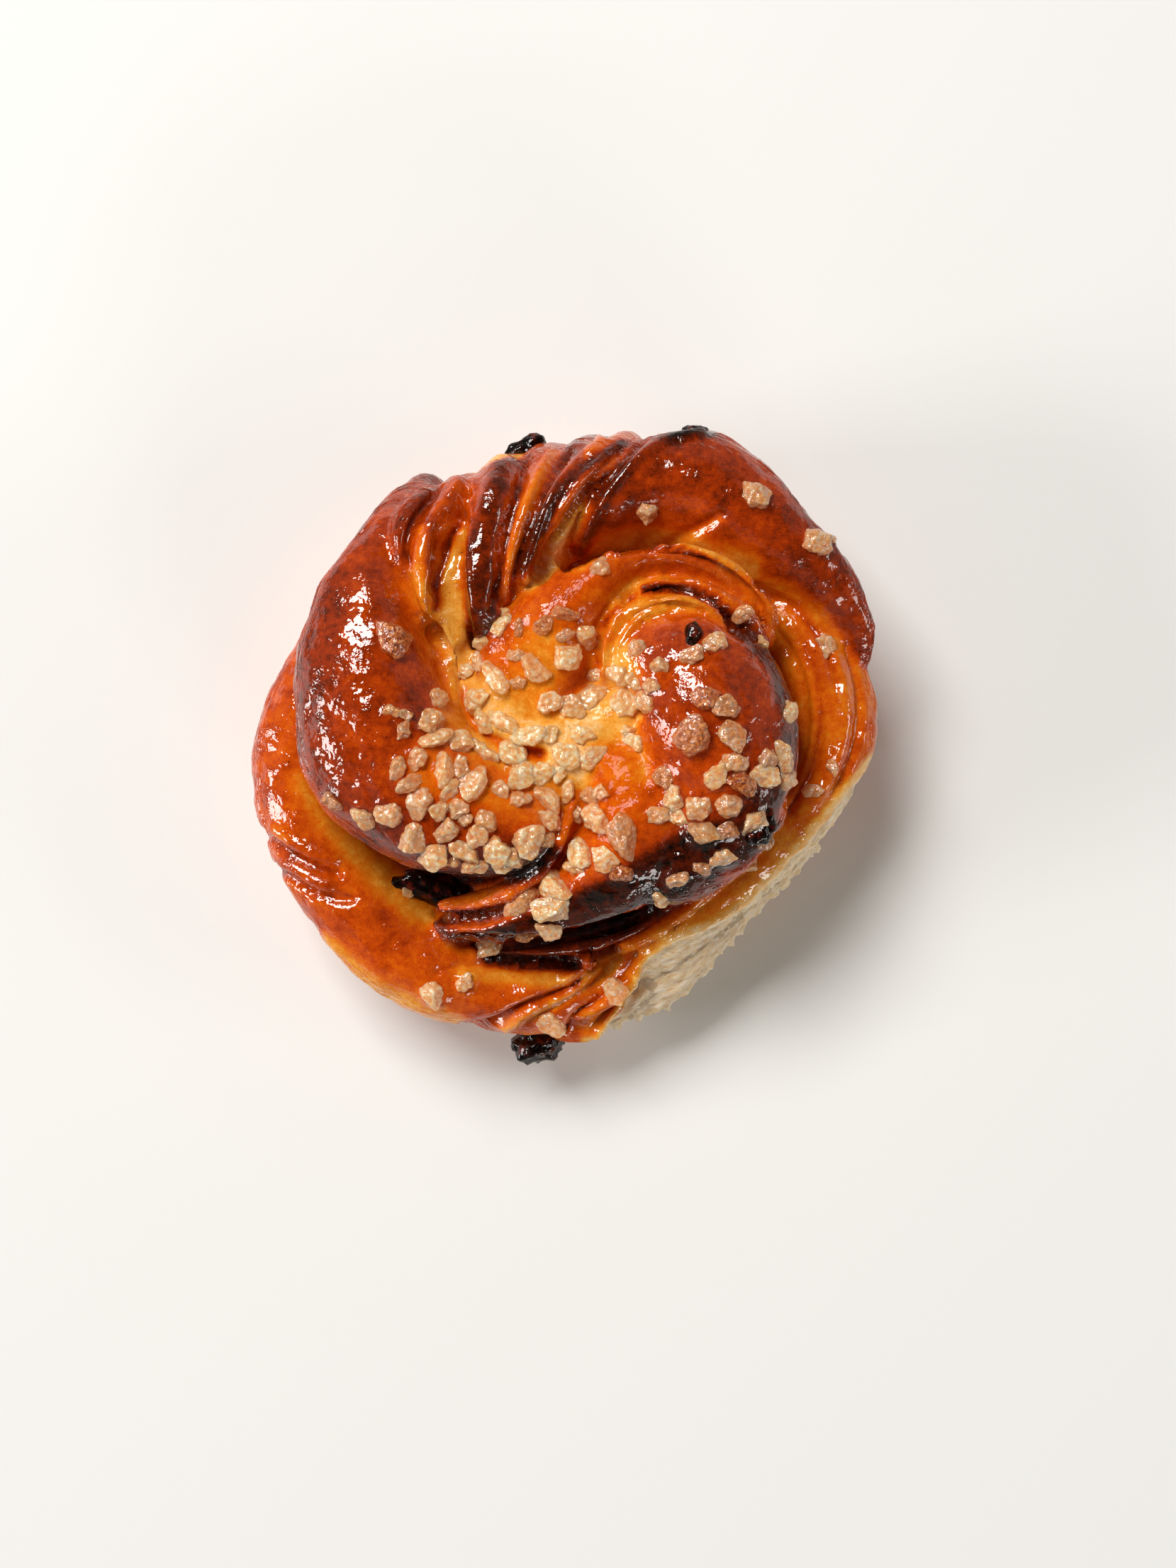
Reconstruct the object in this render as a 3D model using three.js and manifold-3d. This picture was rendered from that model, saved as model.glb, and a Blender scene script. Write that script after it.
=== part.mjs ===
// A knotted cinnamon bun with pearl sugar: one filled strip of dough, twisted, tied over itself and baked.
// Millimetres, +Z up, the origin under the middle of the flat base. Looking down, +Y is the top of the bun.
//
// The dough is built the way it was tied. Each visible stretch of the strip is a strand, a rounded section
// that follows a route of a few stations. The strands and a filled middle are joined into one solid and cut
// flat where it lay on the baking tray. Pearl sugar and beads of burnt filling are then fused on.

import * as THREE from "three";
import { mergeVertices } from "three/addons/utils/BufferGeometryUtils.js";
import Module from "manifold-3d";

const wasm = await Module();
wasm.setup();

// ---- Driving dimensions ----------------------------------------------------------------------------

const TRAY = { side: 160, depth: 60 }; // the block under the bun that leaves its base flat
// The filled middle that every strand joins: its widest radius and the height of it, its top, and the
// side where the bun was pulled from its neighbour, which is flatter.
const MIDDLE = { radius: 46, widest: 11, top: 26, foot: 0.93, sides: 28, flatSide: { turn: -38, depth: 8, spread: 30 } };
const OUTWARD_LEAN = 80; // a section leans outwards by its distance from the middle over this length
const SECTION_POWER = 0.86; // 1 is an ellipse, and less is a squarer section, as risen dough has
const BLUNT_END = 0.12; // share of a strand's route over which its end rounds off

// Each station of a route is [x, y, height of the section's middle, half width, half thickness].
const STRANDS = {
  // the coil that lies on the tray, from under the left lobe round to the bottom of the bun
  outerRing: {
    around: 12,
    along: 18,
    route: [
      [-22, 29, 11, 8, 12],
      [-33, 17, 13, 8.5, 14],
      [-38.7, 6, 13.5, 9, 15.5],
      [-41.2, -5, 14, 9, 15.5],
      [-38.8, -14, 14, 9, 15.5],
      [-34.5, -21.7, 14, 9, 15.5],
      [-27.5, -30, 14, 9.3, 15.5],
      [-19, -35, 13.5, 9.3, 15.5],
      [-10, -37.5, 12.5, 9, 14.5],
      [0, -37.5, 12, 8, 13],
      [8, -34.5, 11, 7, 12],
    ],
  },
  // the same coil where the pleats and the top lobe hide it
  hiddenRing: {
    around: 10,
    along: 12,
    route: [
      [-27, 23, 14, 8, 12],
      [-16, 31, 24.6, 9, 15],
      [-4, 35.5, 25, 9.5, 15],
      [9, 38, 19, 9, 15],
      [25, 31, 15, 9, 14],
      [36, 19, 14, 9, 13],
      [40, 6, 14, 8, 12],
    ],
  },
  // the coil down the right side, to the torn edge
  rightRing: {
    around: 12,
    along: 16,
    route: [
      [30, 25, 20, 5, 9],
      [36.5, 18.5, 20, 7, 11],
      [41, 10, 19.5, 8, 12],
      [42, 1, 19, 8, 12.5],
      [38.5, -6.5, 18.5, 8, 12.5],
      [32.5, -13, 18, 8, 12.5],
      [26, -19.5, 17, 8, 12],
      [19, -26, 16, 7.5, 12],
      [13, -32, 14, 6.5, 11],
      [8, -36, 12, 5, 9],
    ],
  },
  // crumb laid bare where the bun was pulled from its neighbour
  tornSide: {
    around: 10,
    along: 10,
    route: [
      [0, -40, 8, 5, 8],
      [8, -39.8, 9, 6, 10],
      [14, -37, 10, 6.6, 11],
      [19.5, -31, 11, 6.6, 12],
      [26.5, -23, 12, 6.8, 12],
      [33, -15.5, 12, 7.2, 12],
      [39, -7, 12, 7.6, 12],
    ],
  },
  // the low saddle in the middle of the knot, where the sugar lies thickest
  saddle: {
    around: 12,
    along: 8,
    route: [
      [-18, -5, 30, 7, 9],
      [-9, -3, 31, 12, 10.5],
      [1, -1, 31, 12, 10.5],
      [10, 4, 31.5, 8, 9.5],
      [15, 8, 31, 5, 8],
    ],
  },
  leftLobe: {
    around: 14,
    along: 20,
    route: [
      [-20, 41, 12, 3, 6],
      [-23, 38, 21, 3.6, 8],
      [-26.3, 33, 27, 5, 9.5],
      [-29, 27, 29.5, 7, 11],
      [-31, 19.5, 31, 9.6, 12.5],
      [-31, 10, 32, 12.2, 13.5],
      [-28.7, 0, 32.5, 13.8, 14],
      [-22, -7, 33, 13, 13],
      [-14, -11, 33, 10.5, 12.5],
      [-6, -12.5, 32.5, 8, 11],
      [1, -13, 31, 5, 9],
    ],
  },
  topLobe: {
    around: 14,
    along: 18,
    route: [
      [0.5, 29.5, 29, 1.5, 6],
      [4.5, 33.5, 29, 3, 9],
      [9, 38.5, 27.5, 6.2, 12],
      [15, 40.6, 26, 8.6, 13.5],
      [21.2, 40, 25.5, 9.4, 14],
      [26.5, 36.4, 25.5, 9.2, 14],
      [31.6, 32, 25, 8, 13.5],
      [36.6, 27.6, 24, 6.4, 13],
      [41, 23, 22.5, 4.8, 12],
      [44.2, 17.2, 20.5, 3.6, 11],
      [45.6, 10, 18, 2.6, 8],
    ],
  },
  // the arm that rises from the saddle and ends as the outer arc of the swirl
  outerArc: {
    around: 12,
    along: 20,
    route: [
      [-6, -2, 30, 7, 8],
      [-6, 6, 31.5, 9.5, 9.5],
      [-4, 14, 32.5, 9.3, 10],
      [0, 20.5, 33, 7, 10],
      [6, 25, 33, 4.6, 10],
      [12, 27.4, 33, 3.1, 9.5],
      [19, 27.6, 33, 2.6, 9],
      [25, 25.3, 32, 2.5, 9],
      [29, 21, 31, 2.3, 9],
      [32, 15, 29, 2.2, 8],
    ],
  },
  middleArc: {
    around: 8,
    along: 14,
    route: [
      [5.6, 8, 33, 1.4, 8],
      [6.2, 15, 34, 1.6, 8],
      [8.8, 20, 34.4, 1.6, 8],
      [13, 22.9, 34.6, 1.7, 8],
      [18, 23.2, 34.6, 1.8, 8],
      [23, 21.7, 34.3, 1.8, 8],
      [27.5, 18.5, 33.5, 1.8, 8],
      [31.5, 14.5, 31.5, 1.6, 7],
    ],
  },
  innerArc: {
    around: 8,
    along: 12,
    route: [
      [7.6, 9, 34, 1.3, 8],
      [8.4, 15, 35, 1.5, 8],
      [11.4, 19, 35.4, 1.6, 8],
      [16, 20.7, 35.8, 1.7, 8],
      [21, 20.4, 35.8, 1.8, 8],
      [26, 17.8, 35, 1.8, 8],
    ],
  },
  crown: {
    around: 14,
    along: 17,
    route: [
      [10, 12, 31.5, 4, 8],
      [15, 12.5, 34, 8, 11],
      [21, 9.5, 35.5, 12, 12.5],
      [24, 2.5, 35.8, 13.2, 12.8],
      [25, -5.5, 35, 11.8, 12.5],
      [23.5, -12.5, 33.5, 9.5, 12],
      [18, -18, 32, 7, 11],
      [11, -21.5, 30.5, 5, 9],
    ],
  },
  // the face beside the crown, which narrows into the tail end
  tail: {
    around: 12,
    along: 20,
    route: [
      [5, 4, 30, 5, 8],
      [9.5, -4, 32.8, 8.2, 9.8],
      [12, -11, 33.5, 10.8, 10.8],
      [10, -17, 33.2, 9.8, 10.6],
      [4.5, -22, 31.8, 7.2, 9.5],
      [-1, -24.8, 30.6, 5.3, 8.5],
      [-7.5, -27.2, 29.6, 4.2, 7.5],
      [-13.5, -28.9, 28.6, 3.3, 6],
      [-18.5, -29.4, 27.8, 2.4, 4.5],
      [-22, -29, 27.2, 1.5, 3],
    ],
  },
  tailEdge: {
    around: 8,
    along: 12,
    route: [
      [1.8, -7, 37, 1, 4],
      [0.6, -13, 38.2, 1, 4],
      [-2, -17.8, 37.3, 1, 4],
      [-6, -21.6, 35.6, 1, 4],
      [-11, -24.3, 33.6, 1, 4],
      [-16.5, -25.9, 31.8, 0.9, 3.5],
      [-21, -26.2, 30.4, 0.7, 3],
    ],
  },
  // the low floor between the pleats and the left lobe
  pleatValley: {
    around: 8,
    along: 10,
    route: [
      [-16.3, 10, 31.5, 2.2, 6],
      [-17.6, 20, 32.6, 2.8, 6],
      [-18, 29, 33, 3, 6],
      [-16, 36, 31, 3, 6],
      [-13.5, 40, 27, 2.5, 6],
    ],
  },
  // ridges of the coil below the tail
  lowerLayer: {
    around: 8,
    along: 10,
    route: [
      [-16, -31.5, 20, 1.5, 6],
      [-8, -33, 21, 1.8, 6],
      [2, -32.8, 21, 1.8, 6],
      [11, -30, 21, 2, 6],
      [19, -25, 21, 2, 6],
    ],
  },
  bottomRidge: {
    around: 10,
    along: 12,
    route: [
      [-24, -36, 18, 5, 9],
      [-16, -39, 18.5, 5.6, 9],
      [-8.5, -40, 19, 4.6, 8.5],
      [-1, -38.4, 18.5, 3, 7],
      [5, -36, 17, 1.8, 5],
    ],
  },
  bottomRibbon: {
    around: 8,
    along: 12,
    route: [
      [-13, -44, 11, 2.4, 7],
      [-6, -44, 13.5, 2.6, 8],
      [1, -42, 15.5, 2.4, 8],
      [6.5, -38.8, 16.5, 2.2, 8],
      [11.5, -34, 17, 2, 7],
      [18, -29, 17, 1.6, 6],
    ],
  },
  bottomFold: {
    around: 8,
    along: 8,
    route: [
      [-3, -45, 8, 3, 8],
      [3.5, -44.5, 9.5, 3.6, 9.5],
      [9.5, -41, 11.5, 3, 9.5],
      [13.5, -36.5, 12.5, 2.4, 9],
    ],
  },
};

// The pleats that fan out from the saddle and run over the far edge of the bun. Each is
// [inner x, y, bend x, y, rim x, y, half width at the inner end, half width at the rim].
const PLEATS = [
  [-23.5, 27, -24.3, 33, -20.5, 38.5, 1.6, 4.2],
  [-20, 18, -22.3, 28.5, -16, 41.5, 1.7, 4],
  [-12.8, 18, -13, 30, -9, 44.3, 2.7, 5.6],
  [-9.4, 23, -7.2, 32.5, -2, 46.4, 2.6, 5],
  [-7, 25, -3, 34.6, 4.5, 47.8, 2.2, 4.6],
  [-3, 28, 1.8, 37.5, 10, 48.4, 1.6, 3.6],
];
const PLEAT = { crest: 41.3, innerCrest: 40, shoulder: 37.3, rimHeight: 23, foot: 6, halfThickness: 6 };

// Creases cut into the side of the coil at the lower left, as routes on its surface.
const CREASES = [
  [[-37, -21.2, 29.2], [-41, -20.2, 28.6], [-44.5, -18.6, 27], [-47.8, -17, 23.5], [-51, -15.5, 16]],
  [[-35, -25.4, 28.8], [-39, -25.4, 28], [-42.2, -24, 26.8], [-45.5, -22.4, 23], [-48.5, -21, 16]],
];
const CREASE = { halfWidth: 0.7, halfThickness: 2 };

// Pearl sugar, each grain [x, y, length, width, turn in degrees], laid where the baker's hand left it.
const SUGAR = [
  // on the left lobe
  [-27.4, 16.4, 5.4, 4.6, -40], [-20.1, 6.7, 3.1, 2.7, 0], [-26.7, 4.9, 2.6, 1.8, -10],
  [-24.9, 4.3, 2.2, 1.7, -20], [-25.1, 2.1, 3.1, 2.3, 65], [-21.3, 3.1, 4.1, 3.7, 20],
  [-20.2, 0.5, 5.2, 2.2, 24], [-16.6, -0.1, 3.7, 3.4, 35], [-12.9, -1.5, 4.9, 2.1, -38],
  [-23.2, -2.7, 3.6, 2.6, 65], [-26, -4.1, 3.5, 2.3, 75], [-24.2, -6.3, 4, 2.4, 20],
  [-18.8, -4.4, 5, 2.6, 88], [-16.1, -4, 3, 2.1, 80], [-14.4, -6.4, 5.4, 3.3, 62],
  [-17.9, -7.6, 3.5, 2.2, 55], [-22.6, -9.5, 4.5, 3.4, 75], [-19.5, -10.7, 3.3, 2.7, -10],
  [-16.5, -10.1, 2.9, 2.6, 30], [-15.6, -12, 2.2, 1.8, -20], [-18.6, -13.8, 3.5, 2.9, 40],
  [-12.1, -12.3, 3.3, 2.9, -45], [-10.1, -7.6, 2.9, 2.5, -40], [-7, -8.9, 3.4, 2.1, 10],
  [-27.6, -10.9, 3.9, 3.3, -15], [-31.4, -11.5, 3.8, 3, -55], [-36.5, -9.3, 3.2, 2.4, -50],
  // along the lobe's lower edge
  [-23.5, -14.9, 4.7, 3.8, 60], [-20.5, -17.9, 4.7, 4.2, 20], [-17.6, -18.6, 2.5, 2, 0],
  [-15.7, -17.1, 4.7, 3, -50], [-13.6, -14.8, 3.4, 2.9, 80], [-14.1, -19.3, 3.7, 2.3, 15],
  [-10.5, -16.9, 4.2, 3.7, 80], [-8.2, -17.9, 3.5, 2.9, -20], [-9.6, -19.1, 3.2, 2.4, 10],
  [-5.7, -15.1, 4.9, 4, 70], [-2.7, -15.3, 2.8, 2.2, -20],
  // in the saddle
  [-13.9, 6.8, 4, 3.3, 70], [-12.8, 3.7, 4.8, 2.2, -58], [-9.4, 3.1, 5.6, 2.7, -50],
  [-5.5, 1.1, 5.2, 2.7, 15], [-8.2, -1.7, 4, 3.8, 10], [-7.3, -5.2, 4.5, 4, 40],
  [-3.9, -5, 4.4, 3, 10], [-0.9, -4.4, 3.4, 2.4, 60], [-2.1, 1.3, 2.8, 1.9, 60], [0.4, -1.8, 4.4, 3.4, -40],
  [2.6, 1.3, 3.8, 2.4, -25], [4.5, -2.3, 4.4, 3.2, 15], [-3, -9, 5.2, 3.2, -55],
  [-2.6, -12.4, 4.4, 2.3, -25], [0.6, -7.6, 3.4, 1.8, 80],
  // on the arm that rises to the swirl
  [-9.4, 20.8, 2.1, 1.8, 0], [-9.7, 18.8, 3.4, 2.4, 50], [-13, 16.3, 3.2, 2.6, -20],
  [-3.3, 18.5, 3.3, 2.4, 60], [0.1, 20.4, 4.1, 2.4, 5], [3.6, 17.2, 4.4, 2.9, -40],
  [0.4, 13.7, 4.4, 4, 30], [-7.2, 18.4, 2.5, 1.7, 80], [0.1, 17.1, 2.7, 2, 20],
  [-7.7, 13.7, 2.6, 2.1, 30], [-4.6, 11.8, 4.8, 3.4, -15], [-10.7, 10.5, 5.3, 2.5, -56],
  [-13.6, 12.9, 3.6, 1.9, -62], [-16.1, 11.6, 2.8, 2, 30], [-7.3, 9.5, 2.2, 1.7, 20],
  [5, 10.9, 3.1, 2.1, -20], [4.4, 7.4, 4.5, 3.4, 68], [-2.4, 6.6, 3.6, 3, 40], [1.5, 5.7, 3.7, 3.3, 0],
  // on the crown
  [9.9, 6.5, 4.3, 3.8, 50], [8.6, 10.7, 3.4, 3, 0], [11.5, 14.8, 3, 2.4, 20], [11.2, 9.7, 3, 2.7, 0],
  [13.2, 6.1, 4, 3.2, -60], [13.9, 8.9, 2.6, 2.2, 0], [11.3, 0.4, 3.9, 2.3, -30], [10.2, 1.9, 2.2, 1.7, 10],
  [15, 12.1, 2.7, 2.2, 0], [20, 13.6, 3.3, 2.4, 5], [23.6, 15.4, 3.4, 3, 50], [21.9, 6.9, 3.9, 3.2, -15],
  [25.3, 5.6, 3.8, 3.2, -15], [20.3, 1.2, 5.4, 4.5, 55], [26.2, 1.1, 4, 3.4, -30], [16, -5.4, 3.2, 2.8, -30],
  [26.5, -3.1, 3.9, 2.8, 0], [23.6, -5.2, 3.8, 3, 80], [27, -6, 3.6, 3.4, 0], [28.9, -7.1, 2.5, 1.9, 60],
  [31.7, -2.6, 3.1, 2.6, -15], [31.1, -4.9, 4.2, 3.2, -12], [34.2, -2.1, 4.8, 2.6, -75], [35.4, 4.7, 3.6, 2.6, 60],
  [35, -5.7, 3.3, 2.7, 20], [17.5, -8.6, 3.8, 2.9, 80], [18.1, -11.6, 3.6, 2.4, -42], [14.9, -11.3, 3.1, 2.5, 10],
  [21, -10.1, 4.1, 3.7, 50], [25.9, -9.8, 3.5, 3.1, 20], [30.2, -12.3, 4.5, 3, 15], [22, -14, 4.2, 3.3, -40],
  [25.4, -13.7, 3.3, 2.6, 10], [31.6, -15.6, 2.8, 2.4, 30], [25.1, -17.9, 3.7, 2.6, 0],
  // on the face of the tail and its cliff
  [1.8, -11.3, 2.7, 1.8, -70], [4, -8.4, 3.6, 2.6, 10], [5.9, -7.7, 2.7, 2.2, 0], [5.3, -12, 4.7, 3.4, -25],
  [9.6, -14.8, 6.4, 4, -65], [2.8, -17.6, 4.9, 3.4, -62], [6.6, -18.5, 4, 3.7, -20], [1.7, -20, 3.5, 2.2, -20],
  [-1.2, -22.8, 6, 4, -20], [-1.7, -26.2, 5.8, 3.5, 10], [-7.1, -25.6, 6, 3.7, 60], [9.1, -20.4, 3.3, 2.8, 10],
  [-2.3, -29.6, 3.4, 3.1, 20], [-6.3, -31, 4.2, 2.1, 12], [-13, -33.4, 5, 3, 22], [15.2, -24.5, 3.2, 2.6, -50],
  [17.9, -21.5, 3.4, 2.1, 25], [21.7, -19.8, 2.7, 2, 0], [29.9, -19.7, 3, 2.5, 10],
  // alone, round the bun
  [13.2, 37.5, 3.4, 2.9, -40], [30.6, 39.7, 4.5, 3.4, -35], [40.8, 32.4, 4.4, 3.5, -10], [42.8, 32.9, 2, 1.7, 0],
  [5.6, 27.7, 3, 2.7, 30], [42.6, 16.2, 3.2, 2.8, -60], [28.3, 20.6, 3.2, 2.4, 20], [31.4, 15.7, 2.6, 1.6, -50],
  [40.6, -7.6, 3.1, 2.1, 20], [43.6, -3.8, 2.4, 1.8, 80], [-21.6, -41.2, 3.9, 3.2, -60], [-16.3, -39.3, 3, 2.5, 50],
  [-2.4, -46.4, 4.4, 3.8, -20], [8.2, -41, 4.2, 3.6, -50], [-26, -24, 3.5, 2.8, 30], [-23.8, -23.4, 2.6, 2, 10],
];
// A grain starts as eight flat faces, turned so that one of them lies on top.
const FACETED = new THREE.OctahedronGeometry(1.25).rotateZ(-Math.PI / 4).rotateY(-Math.atan(Math.SQRT2)).scale(1, 1, 1.3);
const GRAIN = { start: FACETED, flatness: 0.78, sunk: 0.3, jitter: 0.14 };

// Beads where the filling boiled out and burnt: [x, y, z or null to lie on the dough, length, width,
// thickness, turn in degrees].
const BURNT_BEADS = [
  [-4.5, -50.8, 13, 9, 6.4, 6, 8],
  [-23, -23.4, null, 11, 5.6, 4.4, -10],
  [-6, 49.4, 24, 7, 4, 3.4, 20],
  [20.8, 18.4, null, 4.4, 3.2, 2.6, 30],
  [31, -13.5, null, 6, 4, 2.6, 50],
  [21.5, 51, 30, 4.6, 2.6, 2.6, -10],
];
const BEAD = { start: new THREE.IcosahedronGeometry(1, 1), jitter: 0.14 }; // rounder, as caramel sets

// ---- Strands ---------------------------------------------------------------------------------------

// A closed mesh from rings of points, with one point at each end.
function skin(first, rings, last) {
  const around = rings[0].length;
  const points = [first, ...rings.flat(), last];
  const faces = [];
  const at = (ring, side) => 1 + ring * around + (side % around);
  for (let side = 0; side < around; side++) {
    faces.push(0, at(0, side), at(0, side + 1));
    faces.push(points.length - 1, at(rings.length - 1, side + 1), at(rings.length - 1, side));
    for (let ring = 0; ring + 1 < rings.length; ring++) {
      faces.push(at(ring, side), at(ring + 1, side + 1), at(ring, side + 1));
      faces.push(at(ring, side), at(ring + 1, side), at(ring + 1, side + 1));
    }
  }
  return new THREE.BufferGeometry().setFromPoints(points).setIndex(faces);
}

const curveOf = (points) => new THREE.CatmullRomCurve3(points, false, "catmullrom");

// The section's two directions at a point: across the strand, and outwards from the bun.
function frameAt(place, heading) {
  const outward = new THREE.Vector3(place.x / OUTWARD_LEAN, place.y / OUTWARD_LEAN, 1);
  const across = new THREE.Vector3().crossVectors(heading, outward).normalize();
  return { across, outward: new THREE.Vector3().crossVectors(across, heading).normalize() };
}

function strand({ route, along, around }) {
  const line = curveOf(route.map(([x, y, z]) => new THREE.Vector3(x, y, z)));
  const sizes = curveOf(route.map(([, , , width, thickness]) => new THREE.Vector3(width, thickness, 0)));
  const squarer = (value) => Math.sign(value) * Math.abs(value) ** SECTION_POWER;
  const rings = [];
  for (let step = 1; step < along; step++) {
    const eased = (1 - Math.cos((Math.PI * step) / along)) / 2;
    const share = (eased + step / along) / 2; // rings stand closer near the ends, where the section shrinks
    const place = line.getPoint(share);
    const { across, outward } = frameAt(place, line.getTangent(share));
    const nearEnd = Math.min(share, 1 - share, BLUNT_END) / BLUNT_END;
    const size = sizes.getPoint(share).multiplyScalar(Math.sqrt(1 - (1 - nearEnd) ** 2));
    rings.push(
      Array.from({ length: around }, (_, side) => {
        const turn = (2 * Math.PI * side) / around;
        return place
          .clone()
          .addScaledVector(across, size.x * squarer(Math.cos(turn)))
          .addScaledVector(outward, size.y * squarer(Math.sin(turn)));
      }),
    );
  }
  return skin(line.getPoint(0), rings, line.getPoint(1));
}

// A pleat's crest rises from the saddle, bends over the shoulder and runs down the side.
function pleat([innerX, innerY, bendX, bendY, rimX, rimY, innerHalf, rimHalf]) {
  const { crest, innerCrest, shoulder, rimHeight, foot, halfThickness } = PLEAT;
  const shoulderX = bendX + (rimX - bendX) * 0.62;
  const shoulderY = bendY + (rimY - bendY) * 0.62;
  const middleHalf = innerHalf + (rimHalf - innerHalf) * 0.4;
  return strand({
    around: 8,
    along: 14,
    route: [
      [innerX, innerY, innerCrest - halfThickness, innerHalf, halfThickness],
      [bendX, bendY, crest - halfThickness, middleHalf, halfThickness],
      [shoulderX, shoulderY, shoulder - halfThickness, rimHalf * 0.9, halfThickness],
      [rimX * 0.96, rimY * 0.96, rimHeight - halfThickness / 2, rimHalf, halfThickness],
      [rimX * 0.9, rimY * 0.9, foot, rimHalf * 0.8, halfThickness * 0.8],
    ],
  });
}

function crease(line) {
  const { halfWidth, halfThickness } = CREASE;
  return strand({ around: 6, along: 8, route: line.map((place) => [...place, halfWidth, halfThickness]) });
}

// The middle of the bun, a low dome with a rounded foot.
function middle() {
  const { radius, widest, top, foot, sides, flatSide } = MIDDLE;
  const reachAt = (turn) => radius - flatSide.depth * Math.exp(-(((turn - flatSide.turn) / flatSide.spread) ** 2));
  const ring = (share, z) =>
    Array.from({ length: sides }, (_, side) => {
      const turn = 180 - (360 * side) / sides;
      const reach = reachAt(turn) * share;
      return new THREE.Vector3(reach * Math.cos((turn * Math.PI) / 180), reach * Math.sin((turn * Math.PI) / 180), z);
    });
  const rings = [ring(foot, -1), ring((1 + foot) / 2 + 0.02, widest * 0.4)];
  for (const lift of [0, 25, 45, 62, 78]) {
    const angle = (lift * Math.PI) / 180;
    rings.push(ring(Math.cos(angle) ** 0.7, widest + (top - widest) * Math.sin(angle)));
  }
  return skin(new THREE.Vector3(0, 0, -1), rings, new THREE.Vector3(0, 0, top));
}

// ---- Joining ---------------------------------------------------------------------------------------

function solid(geometry) {
  const bare = geometry.clone().deleteAttribute("normal").deleteAttribute("uv");
  const merged = mergeVertices(bare, 1e-4);
  return new wasm.Manifold(
    new wasm.Mesh({
      numProp: 3,
      vertProperties: new Float32Array(merged.attributes.position.array),
      triVerts: new Uint32Array(merged.index.array),
    }),
  );
}

function geometryOf(body) {
  const mesh = body.getMesh();
  return new THREE.BufferGeometry()
    .setAttribute("position", new THREE.BufferAttribute(mesh.vertProperties, 3))
    .setIndex(new THREE.BufferAttribute(mesh.triVerts, 1));
}

// The largest piece alone, without the hollows that joining seals.
function largest(body) {
  return body.decompose().reduce((best, piece) => (piece.volume() > best.volume() ? piece : best));
}

const tray = new THREE.BoxGeometry(TRAY.side, TRAY.side, TRAY.depth).translate(0, 0, -TRAY.depth / 2);
const doughParts = [middle(), ...Object.values(STRANDS).map(strand), ...PLEATS.map(pleat)];
const cuts = [tray, ...CREASES.map(crease)];
const dough = largest(wasm.Manifold.union(doughParts.map(solid)).subtract(wasm.Manifold.union(cuts.map(solid))));

// ---- Sugar and burnt filling -----------------------------------------------------------------------

// Numbers from 0 to 1 that come out the same on every run.
function drawsFrom(seed) {
  let state = seed >>> 0;
  return () => {
    state = (state + 0x6d2b79f5) >>> 0;
    let mixed = Math.imul(state ^ (state >>> 15), 1 | state);
    mixed = (mixed + Math.imul(mixed ^ (mixed >>> 7), 61 | mixed)) ^ mixed;
    return ((mixed ^ (mixed >>> 14)) >>> 0) / 4294967296;
  };
}

const doughMesh = new THREE.Mesh(geometryOf(dough), new THREE.MeshBasicMaterial({ side: THREE.DoubleSide }));
function heightAt(x, y) {
  const down = new THREE.Raycaster(new THREE.Vector3(x, y, 90), new THREE.Vector3(0, 0, -1));
  const hits = down.intersectObject(doughMesh);
  return hits.length ? hits[0].point.z : null;
}

// A rough lump: the corners of a shape with flat faces are moved in and out.
function lump({ start, x, y, z, length, width, thickness, turn, jitter }, draw) {
  const shape = mergeVertices(start.clone().deleteAttribute("normal").deleteAttribute("uv"), 1e-4);
  const corners = shape.attributes.position;
  for (let corner = 0; corner < corners.count; corner++) {
    const swell = 1 + jitter * (2 * draw() - 1);
    corners.setXYZ(corner, corners.getX(corner) * swell, corners.getY(corner) * swell, corners.getZ(corner) * swell);
  }
  return shape
    .scale(length / 2, width / 2, thickness / 2)
    .rotateZ(turn)
    .translate(x, y, z);
}

const draw = drawsFrom(21);
const grains = SUGAR.map(([x, y, length, width, turn]) => {
  const thickness = (GRAIN.flatness * (length + width)) / 2;
  const z = heightAt(x, y) + thickness * (0.5 - GRAIN.sunk);
  return lump({ ...GRAIN, x, y, z, length, width, thickness, turn: (turn * Math.PI) / 180 }, draw);
});
const beads = BURNT_BEADS.map(([x, y, z, length, width, thickness, turn]) =>
  lump({ ...BEAD, x, y, z: z ?? heightAt(x, y) + 0.2, length, width, thickness, turn: (turn * Math.PI) / 180 }, draw),
);

const whole = largest(wasm.Manifold.union([dough, ...beads.map(solid), ...grains.map(solid)]));
const box = whole.boundingBox();
const centred = whole.translate([-(box.min[0] + box.max[0]) / 2, -(box.min[1] + box.max[1]) / 2, 0]);

// ---- The part --------------------------------------------------------------------------------------

const crust = new THREE.MeshStandardMaterial({ color: 0x8e3a0f, roughness: 0.3, metalness: 0 });
const bun = new THREE.Mesh(geometryOf(centred), crust);
bun.name = "bun";

const model = new THREE.Group();
model.add(bun);
export default model;
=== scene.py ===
# %% [markdown]
# # A knotted cinnamon bun with pearl sugar
# The real bun is one strip of dough, spread with cinnamon filling, twisted, coiled and tied over itself.
# It rises until the coils press into each other, is brushed with egg, strewn with pearl sugar and baked,
# and gets a coat of syrup while it is hot. The lesson follows the same order: the strip, its relief, the
# browning, the glaze, and then the sugar and the beads of filling that boiled out.
# First comes the frame: the CAD solid, which says how large the bun is and where it stands.

# %% The frame
import math

import bmesh
import bpy
import numpy as np
from mathutils import Matrix, Vector, kdtree, noise
from mathutils.bvhtree import BVHTree


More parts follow.
